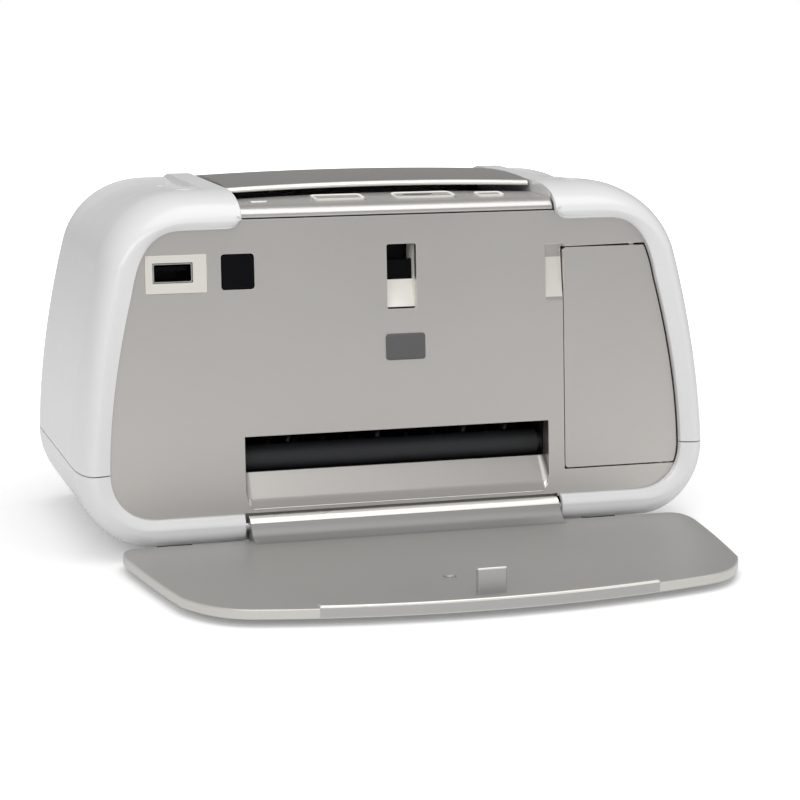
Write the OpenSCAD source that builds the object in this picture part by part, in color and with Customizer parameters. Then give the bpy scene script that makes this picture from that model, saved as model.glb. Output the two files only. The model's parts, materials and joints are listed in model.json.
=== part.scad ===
// Compact photo printer: tray and lid casing, ink bay door, paper path, carriage and drives.
// Millimetres. Layout frame: X to the right, Y to the back from the front foot of the
// casing, Z up from the table. place() centres the whole part on its own outline.

/* [Casing] */
// Widest span of the casing
body_width = 220; // [200:1:250]
// Front foot of the casing to its back wall
body_depth = 112; // [104:1:128]
// Table to the top of the white shoulders
shoulder_height = 119; // [112:1:132]
// Wall of the moulded casing halves
wall = 2.4; // [1.8:0.1:3.2]
// Backward slope of the front, millimetres per millimetre of height
front_slope = 0.066; // [0.03:0.001:0.09]
// Height of the seam between the casing halves
split_height = 29; // [26:0.5:32]
// Height of the rubber feet
foot_height = 3.5; // [2.5:0.1:5]

/* [Front panel] */
// How far the panel lies behind the front ridge
panel_recess = 3.4; // [2.6:0.1:4.2]
// Sheet of the panel and the ink door
panel_thick = 2.4; // [1.8:0.1:2.8]
// Middle of the paper exit, measured from the middle of the casing
slot_mid = -2; // [-3:0.1:-1]
// Top of the paper exit
slot_top = 38.8; // [37.5:0.1:40]
// Lowest line of the exit ramp
ramp_low = 16.7; // [15.5:0.1:19]
// Half of the gap between the white arms above and below the panel
arm_gap = 54.3; // [52:0.1:56]

/* [Output tray] */
// Plate of the tray
tray_thick = 3.2; // [2.4:0.1:3.6]
// Height of the open tray's upper face
tray_top = 5.5; // [5:0.1:6]
// Reach of the open tray in front of the casing
tray_reach = 95.5; // [90:0.5:97]
// Width of the latch tab
tab_width = 9.4; // [7:0.1:9.6]
// Height of the latch tab
tab_height = 8; // [6:0.1:9]

/* [Paper path] */
// Width of the paper that the path takes
paper_width = 101.6; // [88:0.1:101.6]
// Radius of the feed roller
feed_radius = 5; // [4:0.1:5.2]
// Radius of the exit roller
exit_radius = 4.5; // [3.5:0.1:4.7]
// Radius of the pick roller
pick_radius = 7; // [6:0.1:7.4]

/* [Carriage] */
// Width of the ink carriage
carriage_width = 30; // [26:0.5:31]
// Parked carriage, from its middle to the right side of the casing
home_inset = 34; // [33:0.5:38]
// Radius of the guide rod
rod_radius = 3; // [2.5:0.1:3.4]

/* [Hidden] */
half_w = body_width / 2;
gap = 0.3;
fit = 0.05;
slope_angle = atan(front_slope);
body_front_y = (tray_reach - body_depth) / 2;
split_gap = 0.2;
far = 400;
slot_room = 2.2;
slot_left = slot_mid - paper_width / 2 - slot_room;
slot_right = slot_mid + paper_width / 2 + slot_room;
paper_mid = slot_mid - 0.5;
paper_room = 4.2;
paper_z = 34;

corner_in = 24;
waist_z = 29;
shoulder_drop = 22.5;

hinge_y = 3.6;
hinge_z = 9;
barrel_r = 3.6;
pin_r = 1.55;
tab_x = 0.5;
tab_y = 9 - tray_reach;
latch_h = hinge_z + hinge_y - tab_y;
tab_thick = 2.2;
tray_back = -1.2;

deck_slope = 4.5;
deck_y = 24;
deck_z = shoulder_height - 3.8;
deck_thick = 2.2;
deck_edge_z = deck_z - 9 * tan(deck_slope);
deck_back = 33.5;
// each key: place on the deck, then width and depth of its hole
print_key = [-17.5, 25, 18, 9];
menu_key = [12.5, 25, 22, 9.6];
cancel_key = [35.5, 23, 10, 7];
light_key = [9.3 - arm_gap, 23, 6, 2.4];

bar_front = body_depth - 8;
lid_pin_y = body_depth - 17;
lid_pin_z = shoulder_height - 6.5;
lid_half = arm_gap - 0.6;
lid_knuckle = lid_half - 3.1;
extender_half = 30.8;
lid_front = deck_back + 0.7;
lid_tail = bar_front - 1.6;
lid_peak = shoulder_height + 1.9;
guide_rib_z = shoulder_height - 3.2;

door_left = 57.9;
door_low = 22.3;
door_high = shoulder_height - 20.8;
door_gap = 0.7;
door_axis_x = half_w - 17.4;
door_axis_h = 30;
door_tilt = 7.74;
door_pin_r = 1.2;
door_pin_low = -13.5;
door_knuckle_r = 2.2;

board_post = 13;
panel_low = wall + 10.2;
panel_high = shoulder_height - 10.3;
usb_x = 24 - half_w;
window_x = 49 - half_w;

left_cheek = paper_mid - paper_width / 2 - paper_room;
right_cheek = paper_mid + paper_width / 2 + paper_room;
cheek = 2.5;
floor_z = foot_height + wall;
gear_w = 3.6;
gear_x = left_cheek - cheek - 2 - gear_w;
gear_module = 0.5;
shaft_r = 3;

feed_y = 62;
feed_z = paper_z - feed_radius;
exit_y = 17;
exit_z = paper_z - exit_radius;
feed_teeth = 38;
exit_teeth = 34;
motor_teeth = 26;
pick_teeth = 40;
pick_idler_teeth = 25;
idler_teeth = 54;
idler_y = feed_y - pitch(feed_teeth) - pitch(idler_teeth);
idler_z = (feed_z + exit_z) / 2;
pinch_r = 2.8;
pinch_z = paper_z + gap + pinch_r;
star_r = 3.5;
star_z = paper_z + gap + star_r;
star_x = [for (s = [-35.6, -4.3, 26.3, 41.3]) slot_mid + s];
pinch_shaft_r = 1.4;
star_shaft_r = 1.2;
pick_shaft_r = 2.5;
pick_y = 76;
pick_reach = pitch(feed_teeth) + 2 * pitch(pick_idler_teeth) + pitch(pick_teeth);
pick_z = feed_z + sqrt(pick_reach * pick_reach - (pick_y - feed_y) * (pick_y - feed_y));
pick_part = (pitch(feed_teeth) + pitch(pick_idler_teeth)) / pick_reach;
pick_idler_y = feed_y + (pick_y - feed_y) * pick_part;
pick_idler_z = feed_z + (pick_z - feed_z) * pick_part;
motor_step = (pitch(feed_teeth) + pitch(motor_teeth)) * sin(45);
motor_y = feed_y + motor_step;
motor_z = feed_z - motor_step;
motor_r = 9;

pick_room = 1.25;
chute_z = 40;
chute_tilt = 14.23;
chute_y = pick_y + (pick_radius + pick_room - (pick_z - chute_z) * sin(chute_tilt)) / cos(chute_tilt);
chute_length = 64.4;
chute_thick = 2;

home_x = half_w - home_inset;
left_stop_x = left_cheek + 4.5;
rod_y = 56;
rod_z = 62;
plate_y = 64;
plate_thick = 1.2;
plate_half = half_w - 14;
plate_low = 54;
plate_high = 92;
belt_z = 84;
pulley_r = 5.4;
pulley_flange_r = 6.9;
belt_in = 5.7;
belt_out = 6.7;
belt_y = 59.3;
belt_width = 3;
drive_x = left_stop_x - 31;
idle_x = home_x + 10;
idle_pin_r = 1.5;
motor_shaft_r = 1.2;

board_x = 11 - half_w;
inlet_z = 71.5;
screw_x = half_w - 16;
screw_ys = [20, body_depth - 18];
foot_x = half_w - 34;
foot_ys = [20, body_depth - 16];

$fn = 48;

// ---- curves and frames ----

function pitch(teeth) = teeth * gear_module / 2;
function bez2(a, b, c, t) = (1 - t) * (1 - t) * a + 2 * t * (1 - t) * b + t * t * c;
function bez3(a, b, c, d, t) =
    (1 - t) * (1 - t) * (1 - t) * a + 3 * t * (1 - t) * (1 - t) * b
    + 3 * t * t * (1 - t) * c + t * t * t * d;
function run2(a, b, c, n) = [for (i = [0 : n - 1]) bez2(a, b, c, i / n)];
function run3(a, b, c, d, n) = [for (i = [0 : n - 1]) bez3(a, b, c, d, i / n)];
function both(half) = concat(half, [for (i = [len(half) - 1 : -1 : 0]) [-half[i][0], half[i][1]]]);

module place() translate([0, body_front_y, 0]) children();

// local x right, y up the sloping front, z out of it; origin on the front foot
module on_front() rotate([90 - slope_angle, 0, 0]) children();

// local x right, y back along the deck, z out of the deck
module on_deck(x, y) translate([x, y, deck_z + (y - deck_y) * tan(deck_slope)])
    rotate([deck_slope, 0, 0]) children();

// local y up the rear paper support, z out of its face
module on_chute() translate([0, chute_y, chute_z]) rotate([90 - chute_tilt, 0, 0]) children();

module block(x0, x1, y0, y1, z0, z1) translate([x0, y0, z0]) cube([x1 - x0, y1 - y0, z1 - z0]);

// the same on the left and on the right
module pair() {
    children();
    mirror([1, 0, 0]) children();
}

// cylinder along X
module bar(x0, x1, y, z, r) translate([x0, y, z]) rotate([0, 90, 0]) cylinder(h = x1 - x0, r = r);

// cylinder along Y
module bar_y(x, y0, y1, z, r) translate([x, y0, z]) rotate([-90, 0, 0]) cylinder(h = y1 - y0, r = r);

// side outline in (Y, Z) pushed along X
module side(x0, x1, points) translate([x0, 0, 0]) rotate([90, 0, 90])
    linear_extrude(x1 - x0) polygon(points);

// ---- casing form ----

function case_half(w) = concat(
    [for (i = [0 : 9]) [half_w - corner_in + (corner_in - w) * sin(9 * i),
        waist_z - (waist_z - foot_height - w) * cos(9 * i)]],
    run2([half_w - w, waist_z], [half_w - 1 - w, 62],
        [half_w - 10 - w, shoulder_height - shoulder_drop], 8),
    run3([half_w - 10 - w, shoulder_height - shoulder_drop],
        [half_w - 12.8 - w, shoulder_height - 12],
        [half_w - 22, shoulder_height - w], [half_w - 40, shoulder_height - w], 9),
    [[half_w - 40, shoulder_height - w]]);

// height where the front starts to round over into the top
function brow_z(w) = w > 0 ? shoulder_height - 10 : shoulder_height - 15;

function case_side(w, f) = concat(
    run3([8, foot_height + w], [4 + f, foot_height + w],
        [0.6 + f, 5.5 + w], [front_slope * (10 + w) + f, 10 + w], 5),
    [[front_slope * (10 + w) + f, 10 + w]],
    run3([front_slope * brow_z(w) + f, brow_z(w)],
        [front_slope * brow_z(w) + 0.4 + f, brow_z(w) + (shoulder_height - w - brow_z(w)) * 0.66],
        [12 + f, shoulder_height - w], [28, shoulder_height - w], 8),
    [[28, shoulder_height - w]],
    run3([body_depth - 22, shoulder_height - w], [body_depth - 8 - w, shoulder_height - w],
        [body_depth - w, shoulder_height - 8 - w], [body_depth - w, shoulder_height - 22], 8),
    [[body_depth - w, shoulder_height - 22]],
    run3([body_depth - w, foot_height + 9], [body_depth - w, foot_height + 4 + w],
        [body_depth - 4 - w, foot_height + w], [body_depth - 9, foot_height + w], 5),
    [[body_depth - 9, foot_height + w]]);

function case_plan(w) = concat(
    [[half_w - 5 - w, -5]],
    run3([half_w - 5 - w, 0], [half_w - 2 - w, 0.5], [half_w - 0.3 - w, 6], [half_w - w, 16], 5),
    [[half_w - w, 16]],
    run3([half_w - w, body_depth - 26], [half_w - w, body_depth - 10],
        [half_w - 8, body_depth - w], [half_w - 20, body_depth - w], 8),
    [[half_w - 20, body_depth - w]]);

module case_solid(w, f) {
    intersection() {
        translate([0, far / 2, 0]) rotate([90, 0, 0]) linear_extrude(far) polygon(both(case_half(w)));
        side(-far / 2, far / 2, case_side(w, f));
        linear_extrude(far) polygon(both(case_plan(w)));
    }
}

module case_shell() {
    difference() {
        case_solid(0, 0);
        case_solid(wall, panel_recess);
    }
}

// outline of the panel opening; w widens it
function opening_half(w) = concat(
    [[half_w - 26, 13.3 - w]],
    run3([half_w - 25, 13.3 - w], [half_w - 17, 13.3 - w],
        [half_w - 10.4 + w, 20], [half_w - 10.4 + w, 31], 8),
    run2([half_w - 10.4 + w, 31], [half_w - 10.8 + w, 55],
        [half_w - 19 + w, shoulder_height - 32], 8),
    run3([half_w - 19 + w, shoulder_height - 32], [half_w - 21.5 + w, shoulder_height - 22],
        [half_w - 26 + w * 0.6, shoulder_height - 11.5 + w],
        [half_w - 38, shoulder_height - 11.5 + w], 8),
    [[half_w - 38, shoulder_height - 11.5 + w]]);

module opening_2d(w) polygon(both(opening_half(w)));

module opening_cut() on_front() translate([0, 0, -panel_recess - 2]) linear_extrude(12) opening_2d(0);

module top_cut() block(-arm_gap, arm_gap, -5, bar_front, shoulder_height - 19, far);

// ---- casing halves ----

module screw_post(y, z0, z1) translate([screw_x, y, z0]) cylinder(h = z1 - z0, r = 3.6);

module lower_case() color("white") place() {
    difference() {
        union() {
            intersection() {
                case_shell();
                block(-far, far, -far, far, 0, split_height);
            }
            intersection() {
                case_solid(0.5, 1);
                pair() for (y = screw_ys) screw_post(y, 0, split_height);
            }
            block(-arm_gap - 3.3, arm_gap + 3.3, 8.3, 9.9, foot_height, 14);
            intersection() {
                case_solid(0, 0);
                pair() {
                    block(arm_gap + 0.9, arm_gap + 3.1, -5, 9, 0, 12);
                    bar(arm_gap + 0.9, arm_gap + 5.7, hinge_y, hinge_z, 3);
                }
            }
        }
        block(-arm_gap - 0.9, arm_gap + 0.9, -5, 8.3, 0, 14);
        difference() {
            opening_cut();
            block(-far, far, -far, far, 0, 12);
        }
        pair() for (y = screw_ys) translate([screw_x, y, 0]) {
            cylinder(h = split_height + 1, r = 1.6);
            cylinder(h = 9, r = 3.1);
        }
        pair() bar(arm_gap + 0.7, arm_gap + 6.2, hinge_y, hinge_z, pin_r + fit);
    }
}

module upper_case() color("white") place() {
    difference() {
        union() {
            intersection() {
                case_shell();
                block(-far, far, -far, far, split_height + split_gap, far);
            }
            intersection() {
                case_solid(0.5, 1);
                pair() {
                    for (y = screw_ys) {
                        screw_post(y, split_height + split_gap, 42);
                        block(screw_x + 1, half_w + 2, y - 1.2, y + 1.2, split_height + split_gap, 42);
                    }
                    block(arm_gap, arm_gap + wall, 13.6, bar_front + 2, shoulder_height - 12.5, far);
                    bar(arm_gap + 0.2, arm_gap + 4.5, lid_pin_y, lid_pin_z, 4);
                }
            }
            for (y = [42, 90]) {
                bar(board_x - 8, board_x, y, 52, 2);
                bar(board_x - 4.6, board_x, y, 80, 2);
            }
        }
        top_cut();
        opening_cut();
        pair() for (y = screw_ys) translate([screw_x, y, 0]) cylinder(h = 39, r = pin_r);
        pair() bar(arm_gap - 0.3, arm_gap + 4.7, lid_pin_y, lid_pin_z, pin_r + fit);
        block(board_x + 1.5, board_x + 14.3, bar_front, far, 47.7, 59.3);
        bar_y(board_x + 6.6, bar_front, far, inlet_z, 4.4);
    }
}

// ---- front panel and what it carries ----

module panel_sheet() translate([0, 0, -panel_recess - panel_thick]) linear_extrude(panel_thick) children();

module front_panel() color("silver") place() {
    on_front() difference() {
        union() {
            panel_sheet() difference() {
                union() {
                    intersection() {
                        opening_2d(2.5);
                        translate([-half_w, panel_low]) square([body_width, panel_high - panel_low]);
                    }
                    translate([-arm_gap + 0.3, shoulder_height - 29]) square([2 * arm_gap - 0.6, 20.9]);
                }
                translate([-arm_gap - 0.6, 0]) square([2 * arm_gap + 1.2, 14.8]);
                translate([slot_left, ramp_low]) square([slot_right - slot_left, slot_top - ramp_low]);
                for (x = star_x) translate([x - 1.4, slot_top - 1]) square([2.8, 2.6]);
                translate([tab_x - 5.1, latch_h - 19.6]) square([10.2, 21.7]);
                translate([usb_x - 0.2, 87.5]) square([20.4, 12.6]);
                translate([window_x, 88]) square([11.1, 11.7]);
                intersection() {
                    opening_2d(0);
                    translate([door_left - 0.4, door_low - 0.4])
                        square([far, door_high - door_low + 1.1]);
                }
            }
            intersection() {
                union() {
                    on_tilt() translate([0, door_pin_low, 0]) rotate([-90, 0, 0])
                        cylinder(h = 5.2, r = door_knuckle_r + 0.4);
                    on_tilt() translate([0, 70.3, 0]) rotate([-90, 0, 0])
                        cylinder(h = 4.7, r = door_knuckle_r + 0.4);
                }
                translate([0, 0, -20 - panel_recess]) linear_extrude(20) square(far, center = true);
            }
            for (x = [usb_x - 3, usb_x + 37.2]) translate([x, 84, -board_post])
                cube([2.8, 4.7, board_post + 0.1 - panel_recess - panel_thick]);
        }
        on_tilt() translate([0, -14, 0]) rotate([-90, 0, 0]) cylinder(h = 90, r = door_pin_r + fit);
        translate([door_left - 6.5, 79.6, -panel_recess]) scoop();
    }
    difference() {
        block(slot_left - 1.8, slot_right + 1.8, 6, 11.4, ramp_low - 1.7, slot_top + 1.8);
        side(slot_left, slot_right, [[0, ramp_low - 1], [4.4, ramp_low], [11, 27.2], [12, 27.2],
            [12, slot_top], [0, slot_top]]);
        side(-far, far, [[0, 0], [front_slope * 14 + 4.5, 14], [12, 24.6], [30, 24.6], [30, 0]]);
        on_front() translate([0, 0, -panel_recess - panel_thick]) linear_extrude(20)
            square(far, center = true);
        for (x = star_x) block(x - 1.4, x + 1.4, 0, 12, slot_top - 1, slot_top + 1.6);
    }
}

// hinge line of the ink door inside the front frame
module on_tilt() translate([door_axis_x, door_axis_h, -panel_recess - panel_thick + 0.2])
    rotate([0, 0, door_tilt]) children();

// finger hollow beside the ink door
module scoop() intersection() {
    translate([0, 0, -1.7]) cube([6.5, 19.8, 4]);
    translate([-1, 19.8, 20.3]) rotate([0, 90, 0]) cylinder(h = 10, r = 22, $fn = 96);
}

module ink_door() color("silver") place() {
    on_front() difference() {
        union() {
            translate([0, 0, -panel_recess - panel_thick + 0.2]) linear_extrude(panel_thick - 0.2)
                intersection() {
                    opening_2d(-door_gap);
                    translate([door_left, door_low]) square([far, door_high - door_low]);
                }
            intersection() {
                on_tilt() translate([0, -7.2, 0]) rotate([-90, 0, 0]) cylinder(h = 8, r = door_knuckle_r);
                translate([0, door_low, -20 - panel_recess]) linear_extrude(20) square(far);
            }
            intersection() {
                on_tilt() translate([0, 61, 0]) rotate([-90, 0, 0]) cylinder(h = 8.2, r = door_knuckle_r);
                translate([0, 0, -20 - panel_recess]) linear_extrude(20) square([far, door_high]);
            }
            for (x = [door_left + 4.1, door_left + 18.1])
                translate([x, 30, -panel_recess - panel_thick - 1.2]) cube([1.6, 62, 1.6]);
        }
        on_tilt() translate([0, -10, 0]) rotate([-90, 0, 0]) cylinder(h = 12, r = door_pin_r + fit);
        on_tilt() translate([0, 60, 0]) rotate([-90, 0, 0]) cylinder(h = 12, r = door_pin_r + fit);
    }
}

module door_hinge_pins() color("lightsteelblue") place() on_front() on_tilt() {
    translate([0, door_pin_low, 0]) rotate([-90, 0, 0]) cylinder(h = 14, r = door_pin_r);
    translate([0, 61.5, 0]) rotate([-90, 0, 0]) cylinder(h = 13.5, r = door_pin_r);
}

module tray_catch() color("dimgray") place() on_front() {
    translate([tab_x - 7, latch_h, 0]) difference() {
        translate([0, -22.1, -16]) cube([14, 26, 16 - panel_recess - panel_thick]);
        translate([1.8, 0, 0]) rotate([90, 0, 90]) linear_extrude(10.4) polygon([
            [2.3, -30], [2.3, 0], [-18.6, 0], [-18.6, -5.8], [-17.1, -7], [-14.6, -8.2],
            [-11.1, -9.1], [-8.1, -9.4], [-3.5, -9.4], [-3.5, -30]]);
        translate([-1, -29.1, -30]) cube([16, 24, 18.6]);
    }
}

module usb_bezel() color("ivory") place() on_front() difference() {
    translate([usb_x, 87.7, -panel_recess - 2]) cube([20, 12.2, 2.2]);
    translate([usb_x + 2.3, 90.9, -10]) cube([13.3, 6.6, 12]);
}

module usb_host_port() color("darkgray") place() on_front() difference() {
    translate([usb_x + 2.45, 91.05, -17]) cube([13, 6.3, 13.2]);
    translate([usb_x + 2.85, 91.45, -16.4]) cube([12.2, 3.1, 14]);
    translate([usb_x + 2.85, 94.4, -8]) cube([12.2, 2.55, 14]);
    translate([usb_x + 2.85, 96.2, -16.4]) cube([12.2, 0.75, 14]);
}

module infrared_window() color("black") place() on_front()
    translate([window_x + 0.2, 88.2, -panel_recess - 1.6]) cube([10.7, 11.3, 1.5]);

module front_board() color("darkgreen") place() on_front() {
    translate([usb_x - 4, 88.7, -30]) cube([42.6, 2.3, 23]);
    translate([window_x + 2.5, 91, -12]) cube([6, 6, 4]);
}

module blank_badge() color("gray") place() on_front()
    translate([-5.9, 61.8, -panel_recess]) cube([13.6, 10, 0.6]);

// ---- deck and buttons ----

module control_deck() color("silver") place() {
    difference() {
        side(-arm_gap, arm_gap, concat([[13.4, deck_z - 4.1],
            [15, deck_edge_z - deck_thick],
            [deck_back - 1.6, deck_z + 8 * tan(deck_slope) - deck_thick], [deck_back - 1.6, deck_z - 7.2],
            [deck_back, deck_z - 7.2], [deck_back, deck_z + 9.5 * tan(deck_slope)],
            [15, deck_edge_z]],
            [for (i = [1 : 6]) bez3([15, deck_edge_z], [11.4, deck_z - 0.8],
                [9, deck_z - 1.6], [8.6, deck_z - 4.1], i / 6)]));
        for (key = [print_key, menu_key, cancel_key, light_key])
            on_deck(key[0], key[1]) translate([-key[2] / 2, -key[3] / 2, -4]) cube([key[2], key[3], 8]);
    }
    for (x = [3.3 - arm_gap, arm_gap - 5.3])
        on_deck(x, deck_y) translate([-1.5, -1.5, -5]) cube([3, 3, 3.2]);
}

// cap, retaining flange and stem of one button
module button(key) on_deck(key[0], key[1]) {
    translate([-key[2] / 2 + gap, -key[3] / 2 + gap, -2.6]) cube([key[2] - 2 * gap, key[3] - 2 * gap, 3.1]);
    translate([-key[2] / 2 - 1, -key[3] / 2 - 0.6, -3]) cube([key[2] + 2, key[3] + 1.2, 0.5]);
    translate([0, 0, -3.3]) cylinder(h = 0.4, r = 1.6);
}

module print_button() color("gainsboro") place() button(print_key);
module menu_button() color("gainsboro") place() button(menu_key);
module cancel_button() color("gainsboro") place() button(cancel_key);

module status_light() color("white") place() on_deck(light_key[0], light_key[1])
    translate([-light_key[2] / 2 + 0.2, -light_key[3] / 2 + 0.2, -4.9])
        cube([light_key[2] - 0.4, light_key[3] - 0.4, 5.1]);

module button_board() color("darkgreen") place() {
    on_deck(0, deck_y) translate([1.3 - arm_gap, -8.5, -6.5]) cube([2 * arm_gap - 3.6, 15.6, 1.5]);
    for (key = [print_key, menu_key, cancel_key])
        on_deck(key[0], key[1]) translate([-3, -3, -5.01]) cube([6, 6, 0.8]);
}

// ---- lid, extender and rear paper support ----

// side outline of the lid, heights counted from the top of the shoulders
function lid_side() = [[lid_front, -1], [lid_front + 0.4, 0.2], [lid_front + 2, 1],
    [lid_front + 10.8, 1.6], [lid_front + 23.8, 1.9], [lid_tail - 30.4, 1.6],
    [lid_tail - 18.4, 0.9], [lid_tail - 8.4, -0.4], [lid_tail, -2.7], [lid_tail, -3.2],
    [lid_tail - 9.4, -3.2], [lid_tail - 18.4, -1.4], [lid_tail - 30.4, -0.6], [lid_front + 2, -0.9]];

module input_lid() color("silver") place() {
    rib_top = shoulder_height - 0.8;
    difference() {
        union() {
            intersection() {
                side(-lid_half, lid_half, [for (p = lid_side()) [p[0], shoulder_height + p[1]]]);
                crown();
            }
            pair() {
                for (x = [lid_half - 16.7, lid_half - 7.7])
                    block(x - 0.8, x + 0.8, lid_front + 11.8, lid_tail - 12.4, guide_rib_z, rib_top);
                block(extender_half + 0.4, extender_half + 2, lid_front + 11.8, lid_tail - 12.4,
                    guide_rib_z, rib_top);
                block(extender_half - 2.8, extender_half + 1.2, lid_front + 11.8, lid_tail - 12.4,
                    guide_rib_z - 0.4, guide_rib_z + 0.3);
                intersection() {
                    bar(lid_knuckle, lid_half, lid_pin_y, lid_pin_z, 4.4);
                    block(-far, far, 0, far, 0, shoulder_height - 1);
                }
                block(lid_knuckle, lid_half, lid_pin_y - 7, lid_pin_y + 2, lid_pin_z, shoulder_height - 2);
            }
        }
        pair() bar(lid_knuckle - 0.6, lid_half + 1.3, lid_pin_y, lid_pin_z, pin_r + fit);
    }
}

// crowned band that trims the lid, highest over the middle
module crown() rotate([90, 0, 0]) translate([0, 0, -far / 2 - 100]) linear_extrude(far)
    polygon(concat([[lid_half, 100]],
        [for (i = [10 : -1 : -10]) [i * lid_half / 10, lid_peak - 0.012 * i * i]], [[-lid_half, 100]]));

module lid_hinge_pins() color("lightsteelblue") place() {
    pair() bar(arm_gap - 3.5, arm_gap + 4.3, lid_pin_y, lid_pin_z, pin_r);
}

module input_extender() color("dimgray") place()
    block(-extender_half, extender_half, lid_front + 9.8, lid_tail - 20.4, guide_rib_z + 0.6,
        guide_rib_z + 1.6);

module rear_chute() color("dimgray") place() {
    difference() {
        side(left_cheek, right_cheek, [[68, 30.9], [75, 32.2], [chute_y - 0.4, 35.4],
            [chute_y + chute_thick, chute_z],
            [chute_y + chute_length * sin(chute_tilt) + chute_thick * cos(chute_tilt),
                chute_z + chute_length * cos(chute_tilt) - chute_thick * sin(chute_tilt)],
            [chute_y + chute_length * sin(chute_tilt), chute_z + chute_length * cos(chute_tilt)],
            [chute_y, chute_z], [chute_y - 2, 36.8], [74, 34.2], [68, 32.9]]);
        on_chute() translate([left_cheek + 1, 53, -5]) cube([15, 4, 10]);
    }
}

module width_guide() color("silver") place() on_chute() {
    translate([left_cheek + 1.3, 46, gap]) cube([8, 18, 1.2]);
    translate([left_cheek + 1.3, 46, gap]) cube([1.4, 18, 6]);
    translate([left_cheek + 1.8, 53.4, -chute_thick - 1]) cube([3, 3.2, chute_thick + 2]);
    translate([left_cheek + 1.3, 51, -chute_thick - 1.6]) cube([4, 8, 1.2]);
}

module separator_pad() color("saddlebrown") place() on_chute()
    translate([paper_mid - 18, 6, 0]) cube([20, 14, 0.6]);

// ---- output tray ----

// bowed front edge
function tray_edge_y(x) = -tray_reach + 0.00185 * x * x;

function tray_half() = concat(
    [for (i = [0 : 7]) [i * (half_w - 38) / 8, tray_edge_y(i * (half_w - 38) / 8)]],
    run3([half_w - 38, -tray_reach + 9.6], [half_w - 29, -tray_reach + 12],
        [half_w - 23.5, -tray_reach + 18.5], [half_w - 19, -tray_reach + 29.5], 7),
    run2([half_w - 19, -tray_reach + 29.5], [half_w - 14.5, -42], [half_w - 11.5, -14], 6),
    run3([half_w - 11.5, -14], [half_w - 11.1, -5], [half_w - 13, tray_back],
        [half_w - 18, tray_back], 6),
    [[half_w - 18, tray_back]]);

module output_tray() color("silver") place() {
    difference() {
        union() {
            translate([0, 0, tray_top - tray_thick]) linear_extrude(tray_thick)
                polygon(concat(tray_half(), [for (i = [len(tray_half()) - 1 : -1 : 1])
                    [-tray_half()[i][0], tray_half()[i][1]]]));
            bar(-arm_gap + 0.1, arm_gap - 0.1, hinge_y, hinge_z, barrel_r);
            side(-arm_gap + 0.1, arm_gap - 0.1, [[-6.5, tray_top - 0.5], [-1.8, tray_top - tray_thick],
                [hinge_y - 1, tray_top - tray_thick + 0.6], [hinge_y, hinge_z], [0.9, 11.2],
                [-6.5, tray_top + 0.3]]);
            front_lip();
            block(tab_x - tab_width / 2, tab_x + tab_width / 2, tab_y - tab_thick / 2,
                tab_y + tab_thick / 2, tray_top - 0.5, tray_top + tab_height);
            translate([-5.8, 30.8 - tray_reach, tray_top - 0.5]) cylinder(h = 1.3, r = 2);
        }
        pair() bar(arm_gap - 9, arm_gap + 1, hinge_y, hinge_z, pin_r + fit);
    }
}

// raised lip along the middle of the front edge
module front_lip() {
    reach = 54;
    points = concat(
        [for (i = [-8 : 8]) [i * reach / 8, tray_edge_y(i * reach / 8) + 0.6]],
        [for (i = [8 : -1 : -8]) [i * reach / 8, tray_edge_y(i * reach / 8) + 3.6]]);
    translate([0, 0, tray_top - 0.5]) linear_extrude(1.4) polygon(points);
}

module tray_hinge_pins() color("lightsteelblue") place() {
    pair() bar(arm_gap - 8, arm_gap + 5.5, hinge_y, hinge_z, pin_r);
}

// ---- boards at the back ----

module main_board() color("darkgreen") place() translate([board_x, 0, 0]) {
    block(0, 1.6, 34, body_depth - 8, 46, 86);
    block(1.59, 3.6, 68, 84, 50, 66);
    for (z = [56, 64]) bar(1.59, 5, 89.5, z, 3);
}

module usb_device_port() color("darkgray") place() translate([board_x, body_depth, 0]) difference() {
    block(1.7, 14, -18, -1.6, 48, 59);
    block(3.2, 12.6, -14, -1, 49.6, 57.6);
}

module power_inlet() color("black") place() translate([board_x, body_depth, 0]) {
    difference() {
        union() {
            block(1.7, 11.4, -16, -5.4, inlet_z - 4.9, inlet_z + 4.9);
            bar_y(6.6, -6, -1.4, inlet_z, 4.2);
        }
        bar_y(6.6, -12, 0, inlet_z, 2.75);
    }
    bar_y(6.6, -13, -2.4, inlet_z, 0.8);
}

// ---- chassis ----

module chassis_plate() color("lightgray") place() {
    difference() {
        union() {
            block(-plate_half, plate_half, plate_y, plate_y + plate_thick, plate_low, plate_high);
            block(-plate_half, -plate_half + plate_thick, 34, plate_y + plate_thick, plate_low, plate_high);
            block(plate_half - plate_thick, plate_half, 34, plate_y + plate_thick, plate_low, plate_high);
            for (x = [10 - plate_half, plate_half - 30]) {
                block(x, x + 9, plate_y, plate_y + plate_thick, floor_z, plate_low + 1);
                block(x, x + 9, plate_y, plate_y + 9, floor_z, floor_z + plate_thick);
            }
            bar_y(idle_x, 56.4, plate_y + 0.5, belt_z, idle_pin_r);
        }
        bar(-far, far, rod_y, rod_z, rod_radius + fit);
        bar_y(drive_x, 60, 70, belt_z, 4);
    }
}

module guide_rod() color("silver") place()
    bar(-plate_half - 1.2, plate_half + 1.2, rod_y, rod_z, rod_radius);

module encoder_strip() color("dimgray") place()
    block(-plate_half + plate_thick, plate_half - plate_thick, 56.85, 57.05, 86.6, 91);

module cheek_side(x0) side(x0, x0 + cheek, [[12, floor_z], [88, floor_z], [88, 68], [66.4, 68],
    [66.4, 43], [55.4, 43], [55.4, 33], [24.2, 33], [24.2, 42.5], [12, 42.5]]);

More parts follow.
